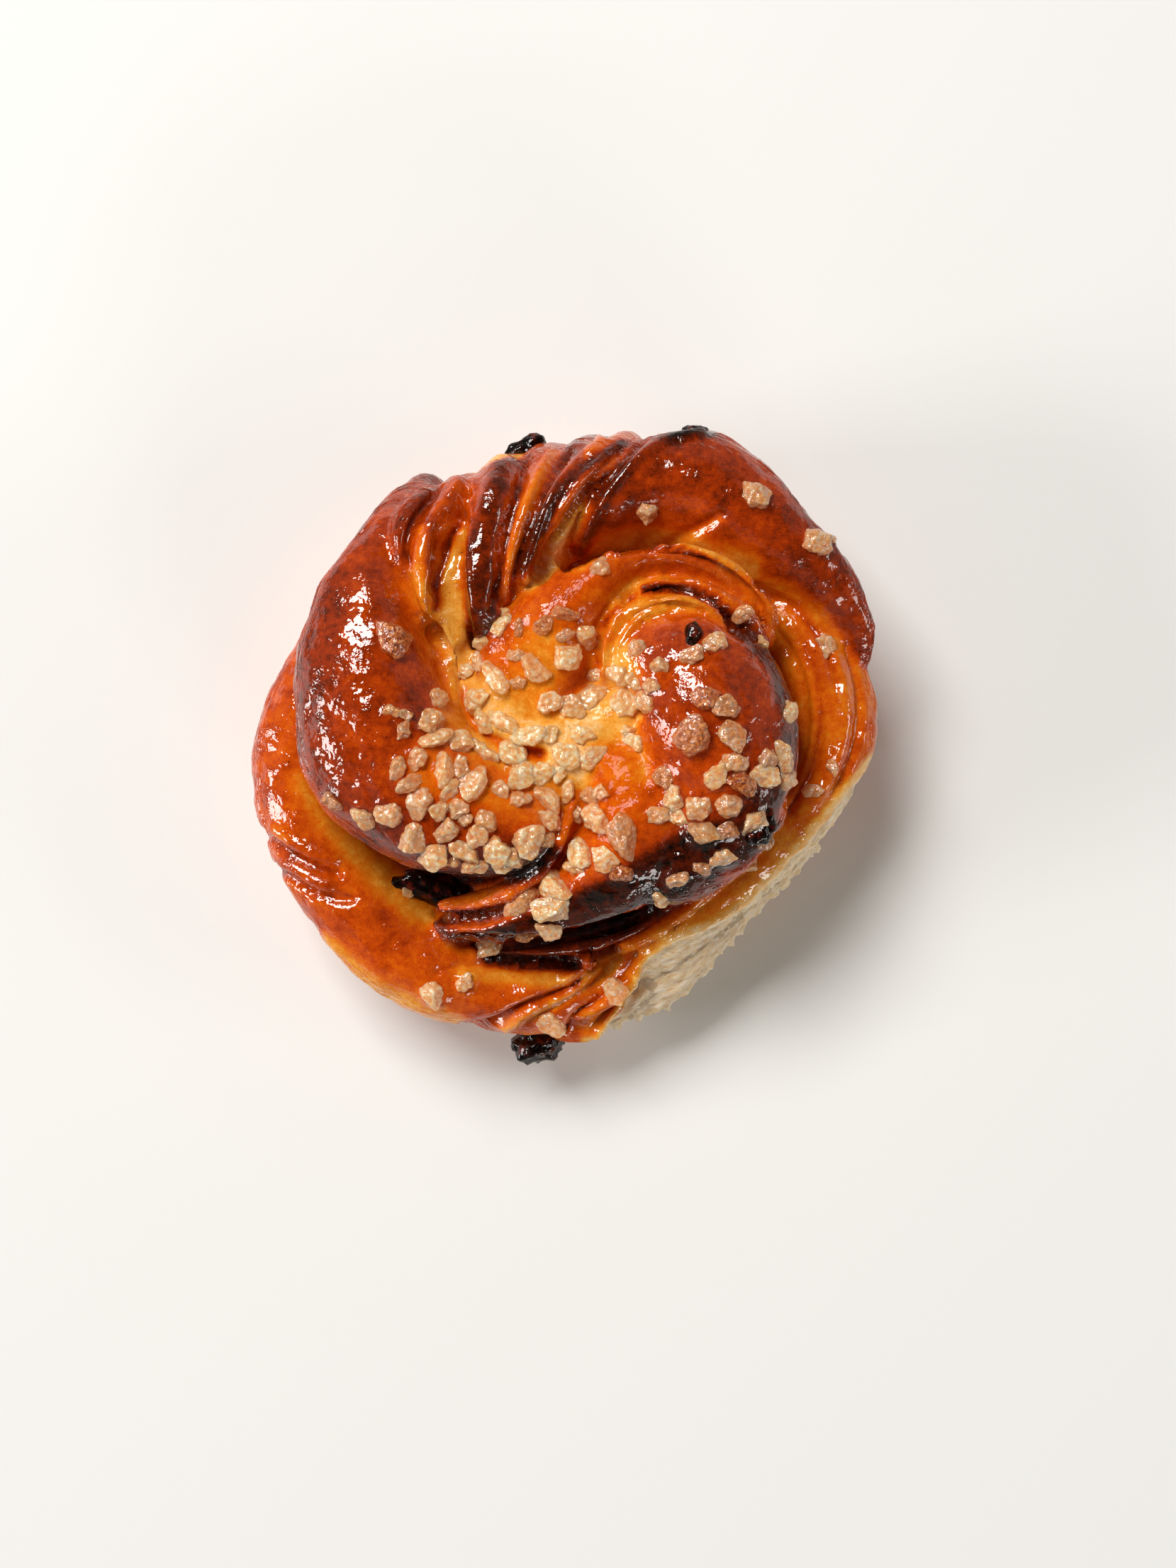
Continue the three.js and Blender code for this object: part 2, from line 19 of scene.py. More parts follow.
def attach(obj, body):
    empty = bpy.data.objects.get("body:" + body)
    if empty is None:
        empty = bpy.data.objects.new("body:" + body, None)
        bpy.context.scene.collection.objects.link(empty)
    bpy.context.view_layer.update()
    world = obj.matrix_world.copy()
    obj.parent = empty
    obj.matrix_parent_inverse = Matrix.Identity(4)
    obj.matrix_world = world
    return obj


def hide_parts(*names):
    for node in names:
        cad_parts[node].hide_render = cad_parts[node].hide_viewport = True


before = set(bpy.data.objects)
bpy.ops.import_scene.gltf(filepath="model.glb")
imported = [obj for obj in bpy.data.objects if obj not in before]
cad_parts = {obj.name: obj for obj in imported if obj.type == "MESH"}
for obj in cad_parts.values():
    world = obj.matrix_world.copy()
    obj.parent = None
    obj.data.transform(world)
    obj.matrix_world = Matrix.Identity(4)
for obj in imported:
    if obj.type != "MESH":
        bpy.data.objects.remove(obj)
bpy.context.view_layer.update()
MM = 0.001  # lengths below are in millimetres unless a name says otherwise

# %% [markdown]
# The photograph was taken from straight above. A lens's length in mm and the sensor's long side give the
# view, and the camera hangs a little to the right of the bun's middle and below it, as in the photograph.
# A bun is small, so the nearest distance that the camera draws is set to a centimetre.

# %% The camera
CAMERA = {"at": (4.24, -5.76, 400), "lens": 51.9, "sensor": 36, "nearest": 0.01, "farthest": 20}

camera = bpy.data.objects.new("camera", bpy.data.cameras.new("camera"))
bpy.context.scene.collection.objects.link(camera)
camera.location = Vector(CAMERA["at"]) * MM
camera.data.lens = CAMERA["lens"]
camera.data.sensor_width = CAMERA["sensor"]
camera.data.clip_start = CAMERA["nearest"]
camera.data.clip_end = CAMERA["farthest"]
bpy.context.scene.camera = camera
print("camera height above the table:", CAMERA["at"][2], "mm")

# %% [markdown]
# Each visible stretch of the strip is a strand, and its route is a list of stations, written from
# the real bun. A station holds the place of the section's middle, its half width and its half thickness.
# The routes are those of the CAD model, so the fine skin made here lies where the solid is. Only the filling
# in the crease is added. A curve with a bevel could draw such a strand, but it can't lean its section
# outwards, as the sides of a risen bun do.

# %% The strands' routes: x, y, z, half width, half thickness
STRANDS = {
    "outer_ring": [
        (-22, 29, 11, 8, 12), (-33, 17, 13, 8.5, 14), (-38.7, 6, 13.5, 9, 15.5), (-41.2, -5, 14, 9, 15.5),
        (-38.8, -14, 14, 9, 15.5), (-34.5, -21.7, 14, 9, 15.5), (-27.5, -30, 14, 9.3, 15.5),
        (-19, -35, 13.5, 9.3, 15.5), (-10, -37.5, 12.5, 9, 14.5), (0, -37.5, 12, 8, 13),
        (8, -34.5, 11, 7, 12),
    ],
    "hidden_ring": [
        (-27, 23, 14, 8, 12), (-16, 31, 24.6, 9, 15), (-4, 35.5, 25, 9.5, 15), (9, 38, 19, 9, 15),
        (25, 31, 15, 9, 14), (36, 19, 14, 9, 13), (40, 6, 14, 8, 12),
    ],
    "right_ring": [
        (30, 25, 20, 5, 9), (36.5, 18.5, 20, 7, 11), (41, 10, 19.5, 8, 12), (42, 1, 19, 8, 12.5),
        (38.5, -6.5, 18.5, 8, 12.5), (32.5, -13, 18, 8, 12.5), (26, -19.5, 17, 8, 12), (19, -26, 16, 7.5, 12),
        (13, -32, 14, 6.5, 11), (8, -36, 12, 5, 9),
    ],
    "torn_side": [
        (0, -40, 8, 5, 8), (8, -39.8, 9, 6, 10), (14, -37, 10, 6.6, 11), (19.5, -31, 11, 6.6, 12),
        (26.5, -23, 12, 6.8, 12), (33, -15.5, 12, 7.2, 12), (39, -7, 12, 7.6, 12),
    ],
    "saddle": [
        (-18, -5, 30, 7, 9), (-9, -3, 31, 12, 10.5), (1, -1, 31, 12, 10.5), (10, 4, 31.5, 8, 9.5),
        (15, 8, 31, 5, 8),
    ],
    "left_lobe": [
        (-20, 41, 12, 3, 6), (-23, 38, 21, 3.6, 8), (-26.3, 33, 27, 5, 9.5), (-29, 27, 29.5, 7, 11),
        (-31, 19.5, 31, 9.6, 12.5), (-31, 10, 32, 12.2, 13.5), (-28.7, 0, 32.5, 13.8, 14),
        (-22, -7, 33, 13, 13), (-14, -11, 33, 10.5, 12.5), (-6, -12.5, 32.5, 8, 11), (1, -13, 31, 5, 9),
    ],
    "top_lobe": [
        (0.5, 29.5, 29, 1.5, 6), (4.5, 33.5, 29, 3, 9), (9, 38.5, 27.5, 6.2, 12), (15, 40.6, 26, 8.6, 13.5),
        (21.2, 40, 25.5, 9.4, 14), (26.5, 36.4, 25.5, 9.2, 14), (31.6, 32, 25, 8, 13.5),
        (36.6, 27.6, 24, 6.4, 13), (41, 23, 22.5, 4.8, 12), (44.2, 17.2, 20.5, 3.6, 11),
        (45.6, 10, 18, 2.6, 8),
    ],
    "outer_arc": [
        (-6, -2, 30, 7, 8), (-6, 6, 31.5, 9.5, 9.5), (-4, 14, 32.5, 9.3, 10), (0, 20.5, 33, 7, 10),
        (6, 25, 33, 4.6, 10), (12, 27.4, 33, 3.1, 9.5), (19, 27.6, 33, 2.6, 9), (25, 25.3, 32, 2.5, 9),
        (29, 21, 31, 2.3, 9), (32, 15, 29, 2.2, 8),
    ],
    "middle_arc": [
        (5.6, 8, 33, 1.4, 8), (6.2, 15, 34, 1.6, 8), (8.8, 20, 34.4, 1.6, 8), (13, 22.9, 34.6, 1.7, 8),
        (18, 23.2, 34.6, 1.8, 8), (23, 21.7, 34.3, 1.8, 8), (27.5, 18.5, 33.5, 1.8, 8),
        (31.5, 14.5, 31.5, 1.6, 7),
    ],
    "inner_arc": [
        (7.6, 9, 34, 1.3, 8), (8.4, 15, 35, 1.5, 8), (11.4, 19, 35.4, 1.6, 8), (16, 20.7, 35.8, 1.7, 8),
        (21, 20.4, 35.8, 1.8, 8), (26, 17.8, 35, 1.8, 8),
    ],
    "crown": [
        (10, 12, 31.5, 4, 8), (15, 12.5, 34, 8, 11), (21, 9.5, 35.5, 12, 12.5), (24, 2.5, 35.8, 13.2, 12.8),
        (25, -5.5, 35, 11.8, 12.5), (23.5, -12.5, 33.5, 9.5, 12), (18, -18, 32, 7, 11),
        (11, -21.5, 30.5, 5, 9),
    ],
    "tail": [
        (5, 4, 30, 5, 8), (9.5, -4, 32.8, 8.2, 9.8), (12, -11, 33.5, 10.8, 10.8), (10, -17, 33.2, 9.8, 10.6),
        (4.5, -22, 31.8, 7.2, 9.5), (-1, -24.8, 30.6, 5.3, 8.5), (-7.5, -27.2, 29.6, 4.2, 7.5),
        (-13.5, -28.9, 28.6, 3.3, 6), (-18.5, -29.4, 27.8, 2.4, 4.5), (-22, -29, 27.2, 1.5, 3),
    ],
    "tail_edge": [
        (1.8, -7, 37, 1, 4), (0.6, -13, 38.2, 1, 4), (-2, -17.8, 37.3, 1, 4), (-6, -21.6, 35.6, 1, 4),
        (-11, -24.3, 33.6, 1, 4), (-16.5, -25.9, 31.8, 0.9, 3.5), (-21, -26.2, 30.4, 0.7, 3),
    ],
    "pleat_valley": [
        (-16.3, 10, 31.5, 2.2, 6), (-17.6, 20, 32.6, 2.8, 6), (-18, 29, 33, 3, 6), (-16, 36, 31, 3, 6),
        (-13.5, 40, 27, 2.5, 6),
    ],
    "crease_filling": [
        (-18.4, 22, 29, 1.6, 5), (-17.2, 15, 31, 2.2, 6), (-16, 9, 32, 2.6, 6), (-13.5, 3, 32.5, 2.2, 6),
        (-9, -0.6, 32, 1.5, 5),
    ],
    "lower_layer": [
        (-16, -31.5, 20, 1.5, 6), (-8, -33, 21, 1.8, 6), (2, -32.8, 21, 1.8, 6), (11, -30, 21, 2, 6),
        (19, -25, 21, 2, 6),
    ],
    "bottom_ridge": [
        (-24, -36, 18, 5, 9), (-16, -39, 18.5, 5.6, 9), (-8.5, -40, 19, 4.6, 8.5), (-1, -38.4, 18.5, 3, 7),
        (5, -36, 17, 1.8, 5),
    ],
    "bottom_ribbon": [
        (-13, -44, 11, 2.4, 7), (-6, -44, 13.5, 2.6, 8), (1, -42, 15.5, 2.4, 8), (6.5, -38.8, 16.5, 2.2, 8),
        (11.5, -34, 17, 2, 7), (18, -29, 17, 1.6, 6),
    ],
    "bottom_fold": [
        (-3, -45, 8, 3, 8), (3.5, -44.5, 9.5, 3.6, 9.5), (9.5, -41, 11.5, 3, 9.5),
        (13.5, -36.5, 12.5, 2.4, 9),
    ],
}
print(len(STRANDS), "strands with", sum(map(len, STRANDS.values())), "stations")

# %% [markdown]
# The pleats fan out from the saddle and run over the far edge. They differ only in where they start, bend
# and reach the rim, so one short row describes each, and a function fills in the heights they share.

# %% The pleats: inner x and y, bend x and y, rim x and y, half width at each end
PLEATS = [
    (-23.5, 27, -24.3, 33, -20.5, 38.5, 1.6, 4.2),
    (-20, 18, -22.3, 28.5, -16, 41.5, 1.7, 4),
    (-12.8, 18, -13, 30, -9, 44.3, 2.7, 5.6),
    (-9.4, 23, -7.2, 32.5, -2, 46.4, 2.6, 5),
    (-7, 25, -3, 34.6, 4.5, 47.8, 2.2, 4.6),
    (-3, 28, 1.8, 37.5, 10, 48.4, 1.6, 3.6),
]
PLEAT = {"crest": 41.3, "inner_crest": 40, "shoulder": 37.3, "rim_height": 23, "foot": 6, "half_thickness": 6}
SHOULDER_SHARE = 0.62  # where the shoulder lies on the way from the bend to the rim
RIM_SHARE, FOOT_SHARE = 0.96, 0.9  # the strand's middle stands this far out, and its skin at the rim


def pleat_route(inner_x, inner_y, bend_x, bend_y, rim_x, rim_y, inner_half, rim_half):
    """The stations of a pleat: up from the saddle, over the shoulder and down the side."""
    thick = PLEAT["half_thickness"]
    shoulder_x = bend_x + (rim_x - bend_x) * SHOULDER_SHARE
    shoulder_y = bend_y + (rim_y - bend_y) * SHOULDER_SHARE
    middle_half = inner_half + (rim_half - inner_half) * 0.4
    return [
        (inner_x, inner_y, PLEAT["inner_crest"] - thick, inner_half, thick),
        (bend_x, bend_y, PLEAT["crest"] - thick, middle_half, thick),
        (shoulder_x, shoulder_y, PLEAT["shoulder"] - thick, rim_half * 0.9, thick),
        (rim_x * RIM_SHARE, rim_y * RIM_SHARE, PLEAT["rim_height"] - thick / 2, rim_half, thick),
        (rim_x * FOOT_SHARE, rim_y * FOOT_SHARE, PLEAT["foot"], rim_half * 0.8, thick * 0.8),
    ]


routes = dict(STRANDS)
routes.update({f"pleat_{number}": pleat_route(*row) for number, row in enumerate(PLEATS)})
print("pleats:", len(PLEATS))

# %% [markdown]
# A strand is lofted: a smooth curve runs through the stations, and a rounded section is set square to it
# at many places. The rings here stand under a millimetre apart, far closer than in the CAD model, so the
# skin comes out smooth. NumPy works out a whole strand at a time, which keeps the script fast.

# %% Lofting a strand
OUTWARD_LEAN = 80  # a section leans outwards by its distance from the middle over this length
SECTION_POWER = 0.86  # 1 is an ellipse, and less is a squarer section
BLUNT_END = 0.12  # share of a route over which its end rounds off
RING_GAP = 0.8  # mm between rings, and about that between the points of a ring
FEWEST, MOST_AROUND = 24, 90  # rings of a strand and points of a ring


def on_route(stations, shares):
    """Points of the smooth curve through the stations, at shares of the way from 0 to 1."""
    held = np.asarray(stations, float)
    held = np.vstack([2 * held[0] - held[1], held, 2 * held[-1] - held[-2]])
    place = np.clip(shares * (len(stations) - 1), 0, len(stations) - 1 - 1e-9)
    span = place.astype(int)
    t = (place - span)[:, None]
    a, b, c, d = held[span], held[span + 1], held[span + 2], held[span + 3]
    bend = (2 * a - 5 * b + 4 * c - d) * t**2
    return 0.5 * (2 * b + (c - a) * t + bend + (3 * b - a - 3 * c + d) * t**3)


def unit(vectors):
    return vectors / np.maximum(np.linalg.norm(vectors, axis=-1, keepdims=True), 1e-9)


def length_of(places):
    return np.linalg.norm(np.diff(places, axis=0), axis=1).sum()


def loft(route):
    """The points, faces, and (share of the way, turn round the section) of one closed strand."""
    route = np.asarray(route, float)
    along = max(FEWEST, int(length_of(route[:, :3]) / RING_GAP))
    around = int(np.clip(2 * math.pi * route[:, 3:].max() / RING_GAP, FEWEST, MOST_AROUND))
    step = np.arange(1, along) / along
    shares = (1 - np.cos(math.pi * step)) / 4 + step / 2  # rings stand closer near the ends
    middle = on_route(route[:, :3], shares)
    heading = on_route(route[:, :3], np.minimum(shares + 1e-4, 1)) - on_route(route[:, :3], shares - 1e-4)
    lean = np.column_stack([middle[:, :2] / OUTWARD_LEAN, np.ones(len(middle))])
    across = unit(np.cross(heading, lean))
    outward = unit(np.cross(across, heading))
    near_end = np.minimum(np.minimum(shares, 1 - shares), BLUNT_END) / BLUNT_END
    size = on_route(route[:, 3:], shares) * np.sqrt(1 - (1 - near_end) ** 2)[:, None]
    turn = 2 * math.pi * np.arange(around) / around
    wide = np.sign(np.cos(turn)) * np.abs(np.cos(turn)) ** SECTION_POWER
    deep = np.sign(np.sin(turn)) * np.abs(np.sin(turn)) ** SECTION_POWER
    sideways = across[:, None] * (size[:, :1] * wide)[..., None]
    upwards = outward[:, None] * (size[:, 1:] * deep)[..., None]
    rings = middle[:, None] + sideways + upwards
    points = np.vstack([route[:1, :3], rings.reshape(-1, 3), route[-1:, :3]])
    ring_places = np.column_stack([np.repeat(shares, around), np.tile(turn, along - 1)])
    return points, skin_faces(along - 1, around), np.vstack([[0, 0], ring_places, [1, 0]])


def skin_faces(rings, around):
    """Faces over rings of points, closed by one point at each end."""
    side = np.arange(around)
    after = (side + 1) % around
    ring = np.arange(rings - 1)[:, None] * around + 1
    corners = [ring + side, ring + around + side, ring + around + after, ring + after]
    quads = np.stack(corners, -1).reshape(-1, 4)
    last = rings * around + 1
    start = np.column_stack([np.zeros(around, int), 1 + side, 1 + after])
    end = np.column_stack([np.full(around, last), last - around + after, last - around + side])
    return [face.tolist() for face in (*quads, *start, *end)]


lofted = {name: loft(route) for name, route in routes.items()}
print("lofted points:", sum(len(points) for points, _, _ in lofted.values()))

# %% [markdown]
# Under the strands lies the risen middle of the bun. It is a low dome with a rounded foot, and one of its
# sides is flatter: there the bun stood against its neighbour on the tray and was pulled off it.

# %% The middle of the bun
MIDDLE = {"radius": 46, "bottom": -1, "widest": 11, "top": 26, "foot": 0.93, "shoulder_power": 0.7}
FLAT_SIDE = {"turn": -38, "depth": 8, "spread": 30}
FOOT_RINGS, DOME_RINGS = 6, 24


def middle_dome(sides=120):
    turn = 180 - 360 * np.arange(sides) / sides
    pressed = np.exp(-(((turn - FLAT_SIDE["turn"]) / FLAT_SIDE["spread"]) ** 2))
    reach = MIDDLE["radius"] - FLAT_SIDE["depth"] * pressed
    low_shares = np.linspace(MIDDLE["foot"] + 0.03, 1, FOOT_RINGS, endpoint=False)
    low_heights = np.linspace(1, MIDDLE["widest"], FOOT_RINGS, endpoint=False)
    lifts = np.radians(np.linspace(0, 86, DOME_RINGS))
    high_heights = MIDDLE["widest"] + (MIDDLE["top"] - MIDDLE["widest"]) * np.sin(lifts)
    shares = [MIDDLE["foot"], *low_shares, *(np.cos(lifts) ** MIDDLE["shoulder_power"])]
    heights = [MIDDLE["bottom"], *low_heights, *high_heights]
    x, y = reach * np.cos(np.radians(turn)), reach * np.sin(np.radians(turn))
    rings = [np.column_stack([x * share, y * share, np.full(sides, z)]) for share, z in zip(shares, heights)]
    points = np.vstack([[0, 0, MIDDLE["bottom"]], *rings, [0, 0, MIDDLE["top"]]])
    return points, skin_faces(len(rings), sides), np.zeros((len(points), 2))


lofted["middle"] = middle_dome()
print("middle points:", len(lofted["middle"][0]))

# %% [markdown]
# Proofed dough fuses where it touches. A voxel remesh does the same: it reads the overlapping strands as
# one volume and lays a single even skin over it. The mesh is then cut flat where it lay on the tray. The
# voxel is small enough to keep the thin leaves of the swirl, and large enough for a light mesh.

# %% One skin over all the strands
VOXEL = 0.66  # mm


def mesh_object(name, points, faces):
    mesh = bpy.data.meshes.new(name)
    mesh.from_pydata(np.asarray(points).tolist(), [], faces)
    made = bpy.data.objects.new(name, mesh)
    bpy.context.scene.collection.objects.link(made)
    return made


def fused(parts, voxel):
    """One object whose mesh is the voxel remesh of all the parts, in millimetres."""
    points, faces, base = [], [], 0
    for part_points, part_faces, _ in parts:
        points.append(part_points)
        faces += [[corner + base for corner in face] for face in part_faces]
        base += len(part_points)
    rough = mesh_object("rough", np.vstack(points), faces)
    remesh = rough.modifiers.new("fuse", "REMESH")
    remesh.mode = "VOXEL"
    remesh.voxel_size = voxel
    remesh.adaptivity = 0
    graph = bpy.context.evaluated_depsgraph_get()
    even = bpy.data.meshes.new_from_object(rough.evaluated_get(graph))
    bpy.data.objects.remove(rough)
    made = bpy.data.objects.new("bun_dough", even)
    bpy.context.scene.collection.objects.link(made)
    return made


dough = fused(lofted.values(), VOXEL)
print("fused skin:", len(dough.data.vertices), "points")

# %% [markdown]
# From here on the skin is handled as arrays. Two helpers are enough for most of the relief: one averages
# every point with its neighbours, and one gives the normals. Smoothing first removes the voxel steps. The
# saddle is smoothed much more, since there the lobe, the arm and the tail have risen into one soft mass.

# %% Smoothing the skin
# Each patch: x, y, half length, half width, turn in degrees, rounds of smoothing.
SOFT_PATCHES = [
    (-4, -3, 13, 8, 10, 26), (-3, 12, 8, 9, 0, 8), (17, -8, 7, 9, 0, 18), (-8, 33, 14, 10, 25, 2),
    (-14.5, 11, 3.5, 5, 0, 26),
]
SOFT_ABOVE = 20  # mm, so the sides stay as they are


def points_of(mesh):
    values = np.empty(len(mesh.vertices) * 3)
    mesh.vertices.foreach_get("co", values)
    return values.reshape(-1, 3)


def edges_of(mesh):
    ends = np.empty(len(mesh.edges) * 2, int)
    mesh.edges.foreach_get("vertices", ends)
    return ends.reshape(-1, 2)


def averaged(values, edges, rounds=1, share=0.5):
    """Values moved towards the mean of their neighbours, some rounds over. The share may be one per point."""
    share = np.asarray(share, float)
    one, other = edges.T
    count = np.bincount(one, minlength=len(values)) + np.bincount(other, minlength=len(values))
    values = values.reshape(len(values), -1).copy()
    share = share[:, None] if share.ndim else share
    for _ in range(rounds):
        sums = [
            np.bincount(one, column[other], len(values)) + np.bincount(other, column[one], len(values))
            for column in values.T
        ]
        mean = np.column_stack(sums) / np.maximum(count, 1)[:, None]
        values += (mean - values) * share
    return values


def oval_distance(points, x, y, half_length, half_width, turn):
    """0 in the middle of an oval seen from above, 1 on its edge, and more outside."""
    angle = math.radians(turn)
    along = (points[:, 0] - x) * math.cos(angle) + (points[:, 1] - y) * math.sin(angle)
    across = (points[:, 1] - y) * math.cos(angle) - (points[:, 0] - x) * math.sin(angle)
    return np.hypot(along / half_length, across / half_width)


def patch_share(points, *oval):
    """1 in the middle of an oval, falling softly to 0 at its edge."""
    return np.clip(1 - oval_distance(points, *oval) ** 2, 0, 1) ** 0.5


edges = edges_of(dough.data)
polygons = [list(face.vertices) for face in dough.data.polygons]
skin = averaged(points_of(dough.data), edges, 3)
for *oval, rounds in SOFT_PATCHES:
    inside = patch_share(skin, *oval) * (skin[:, 2] > SOFT_ABOVE)
    skin = averaged(skin, edges, rounds, 0.5 * inside)
print("smoothed", len(skin), "points")

# %% [markdown]
# Each point of the skin looks up the nearest point of the lofted strands. That tells which strand it
# belongs to, how far along it is, and on which side of the section, which is what steers the wrinkles and
# the browning later. A k-d tree answers such questions quickly.

# %% Which strand each point belongs to
names = list(lofted)
loft_points = np.vstack([points for points, _, _ in lofted.values()])
loft_strand = np.concatenate([np.full(len(lofted[name][0]), number) for number, name in enumerate(names)])
loft_place = np.vstack([places for _, _, places in lofted.values()])


def tree_of(points):
    """A k-d tree, which finds the nearest of many points."""
    tree = kdtree.KDTree(len(points))
    for number, point in enumerate(points):
        tree.insert(point, number)
    tree.balance()
    return tree


loft_tree = tree_of(loft_points)
nearest = np.array([loft_tree.find(point)[1] for point in skin])
strand_of, share_of, turn_of = loft_strand[nearest], loft_place[nearest, 0], loft_place[nearest, 1]


def belongs_to(*wanted):
    return np.isin(strand_of, [number for number, name in enumerate(names) if name.startswith(wanted)])


print("points on the left lobe:", int(belongs_to("left_lobe").sum()))

# %% [markdown]
# Two measures of the shape are kept for later. Openness is the share of the sky that a point sees, found
# by casting rays; the heat of the oven and the egg wash reach open places first. Bulge compares a point
# with a heavily smoothed skin, and is positive on crowns and negative in creases.

# %% Openness and bulge
RAY_REACH = 16  # mm
RAYS = 18
RAY_START = 0.12  # mm above the skin, so a ray doesn't hit the face it starts from


def normals_of(mesh, points):
    mesh.vertices.foreach_set("co", points.ravel())
    mesh.update()
    values = np.empty(len(mesh.vertices) * 3)
    mesh.vertex_normals.foreach_get("vector", values)
    return values.reshape(-1, 3)


def sky_directions(count):
    """Directions spread evenly over the upper half, more of them near its middle."""
    number = np.arange(count) + 0.5
    height = np.sqrt(1 - number / count)
    turn = number * math.pi * (3 - math.sqrt(5))
    level = np.sqrt(1 - height**2)
    return np.column_stack([level * np.cos(turn), level * np.sin(turn), height])


def openness_of(points, normals):
    shape = BVHTree.FromPolygons(points.tolist(), polygons)
    side = unit(np.cross(normals, [0.31, 0.87, 0.38]))
    other = np.cross(normals, side)
    free = np.zeros(len(points))
    for x, y, z in sky_directions(RAYS):
        towards = side * x + other * y + normals * z
        rays = zip((points + normals * RAY_START).tolist(), towards.tolist())
        free += [shape.ray_cast(start, way, RAY_REACH)[0] is None for start, way in rays]
    return free / RAYS


normals = normals_of(dough.data, skin)
openness = averaged(openness_of(skin, normals), edges, 3)[:, 0]
bulge = ((skin - averaged(skin, edges, 60)) * normals).sum(1)
print("openness from", round(openness.min(), 2), "to", round(openness.max(), 2))
print("bulge from", round(bulge.min(), 2), "to", round(bulge.max(), 2), "mm")

# %% [markdown]
# Dough never rises evenly. Broad lumps, small swellings and a few dents are laid over the skin with smooth
# noise, which Blender's noise module gives at any point in space. The steep flanks also carry wrinkles that
# run along the strand, where the skin set before the crumb behind it had stopped rising.

# %% Lumps, swellings and wrinkles
LUMPS = [(13, 0.5, 3.1), (4.2, 0.26, 8.4), (1.9, 0.07, 1.7)]  # width in mm, height in mm, seed
WRINKLE = {"height": 0.36, "length": 5.5, "rise": 0.75, "turns": 1.6, "seed_step": 7.3}


def noise_at(points, size, seed=0.0, octaves=2):
    """Smooth noise of about -1 to 1, whose lumps are size mm wide."""
    return np.array([noise.fractal(place, 0.8, 2.1, octaves) for place in (points / size + seed).tolist()])


def between(values, low, high):
    """0 up to low, 1 from high, and a soft step between them."""
    t = np.clip((values - low) / (high - low), 0, 1)
    return t * t * (3 - 2 * t)


# The middle has no route, and its share of the way is 0 everywhere, so any length will do.
lengths = [length_of(np.asarray(routes[name])[:, :3]) if name in routes else 0 for name in names]
along = share_of * np.array(lengths)[strand_of] / WRINKLE["length"]
round_section = skin[:, 2] * WRINKLE["rise"] + turn_of * WRINKLE["turns"]
flow = np.column_stack([along, round_section, strand_of * WRINKLE["seed_step"]])
steep = between(1 - normals[:, 2], 0.25, 0.75) * between(openness, 0.15, 0.6)  # 1 on steep, open skin
above_base = between(skin[:, 2], 0.8, 4)  # 0 at the table, where the foot stays flat
relief = sum(height * noise_at(skin, width, seed) for width, height, seed in LUMPS)
relief += WRINKLE["height"] * steep * noise_at(flow, 1.0)
skin = skin + normals * (relief * above_base)[:, None]
print("relief from", round(relief.min(), 2), "to", round(relief.max(), 2), "mm")

# %% [markdown]
# Folds and colours follow lines that a baker would see from above, so both are given as strokes: a line of
# places and a half width. A stroke only touches skin that can be seen from above, which a ray cast straight
# up tells, so a fold that hangs over hides what lies below it.

# %% Strokes along the skin
LINE_STEP = 0.6  # mm between the points of a smooth line
UP_RAY_START = 0.15  # mm above the skin


def smooth_line(places):
    places = np.asarray(places, float)
    return on_route(places, np.linspace(0, 1, max(6, int(length_of(places) / LINE_STEP))))


def gaps_to(line, points):
    """The distance of each point from each place of a line, seen from above."""
    return np.hypot(points[:, 0, None] - line[None, :, 0], points[:, 1, None] - line[None, :, 1])


def stroke(places, half_width, points):
    """1 along the line, falling softly to 0 at its half width."""
    return between(1 - gaps_to(smooth_line(places), points).min(1) / half_width, 0, 0.75)


def seen_from_above(points, normals):
    shape = BVHTree.FromPolygons(points.tolist(), polygons)
    up = Vector((0, 0, 1))
    free = [shape.ray_cast(start, up)[0] is None for start in (points + normals * UP_RAY_START).tolist()]
    return averaged(np.array(free, float), edges, 2)[:, 0]


normals = normals_of(dough.data, skin)
seen = seen_from_above(skin, normals)
print("seen from above:", round(seen.mean(), 2), "of the skin")

# %% [markdown]
# Where the ring bent round the lower left it buckled, and the ribbons at the right split along the filling.
# Such folds are narrower than the strands, so they are pressed into the skin here as grooves, each with a
# small swelling beside it where the dough had to go.

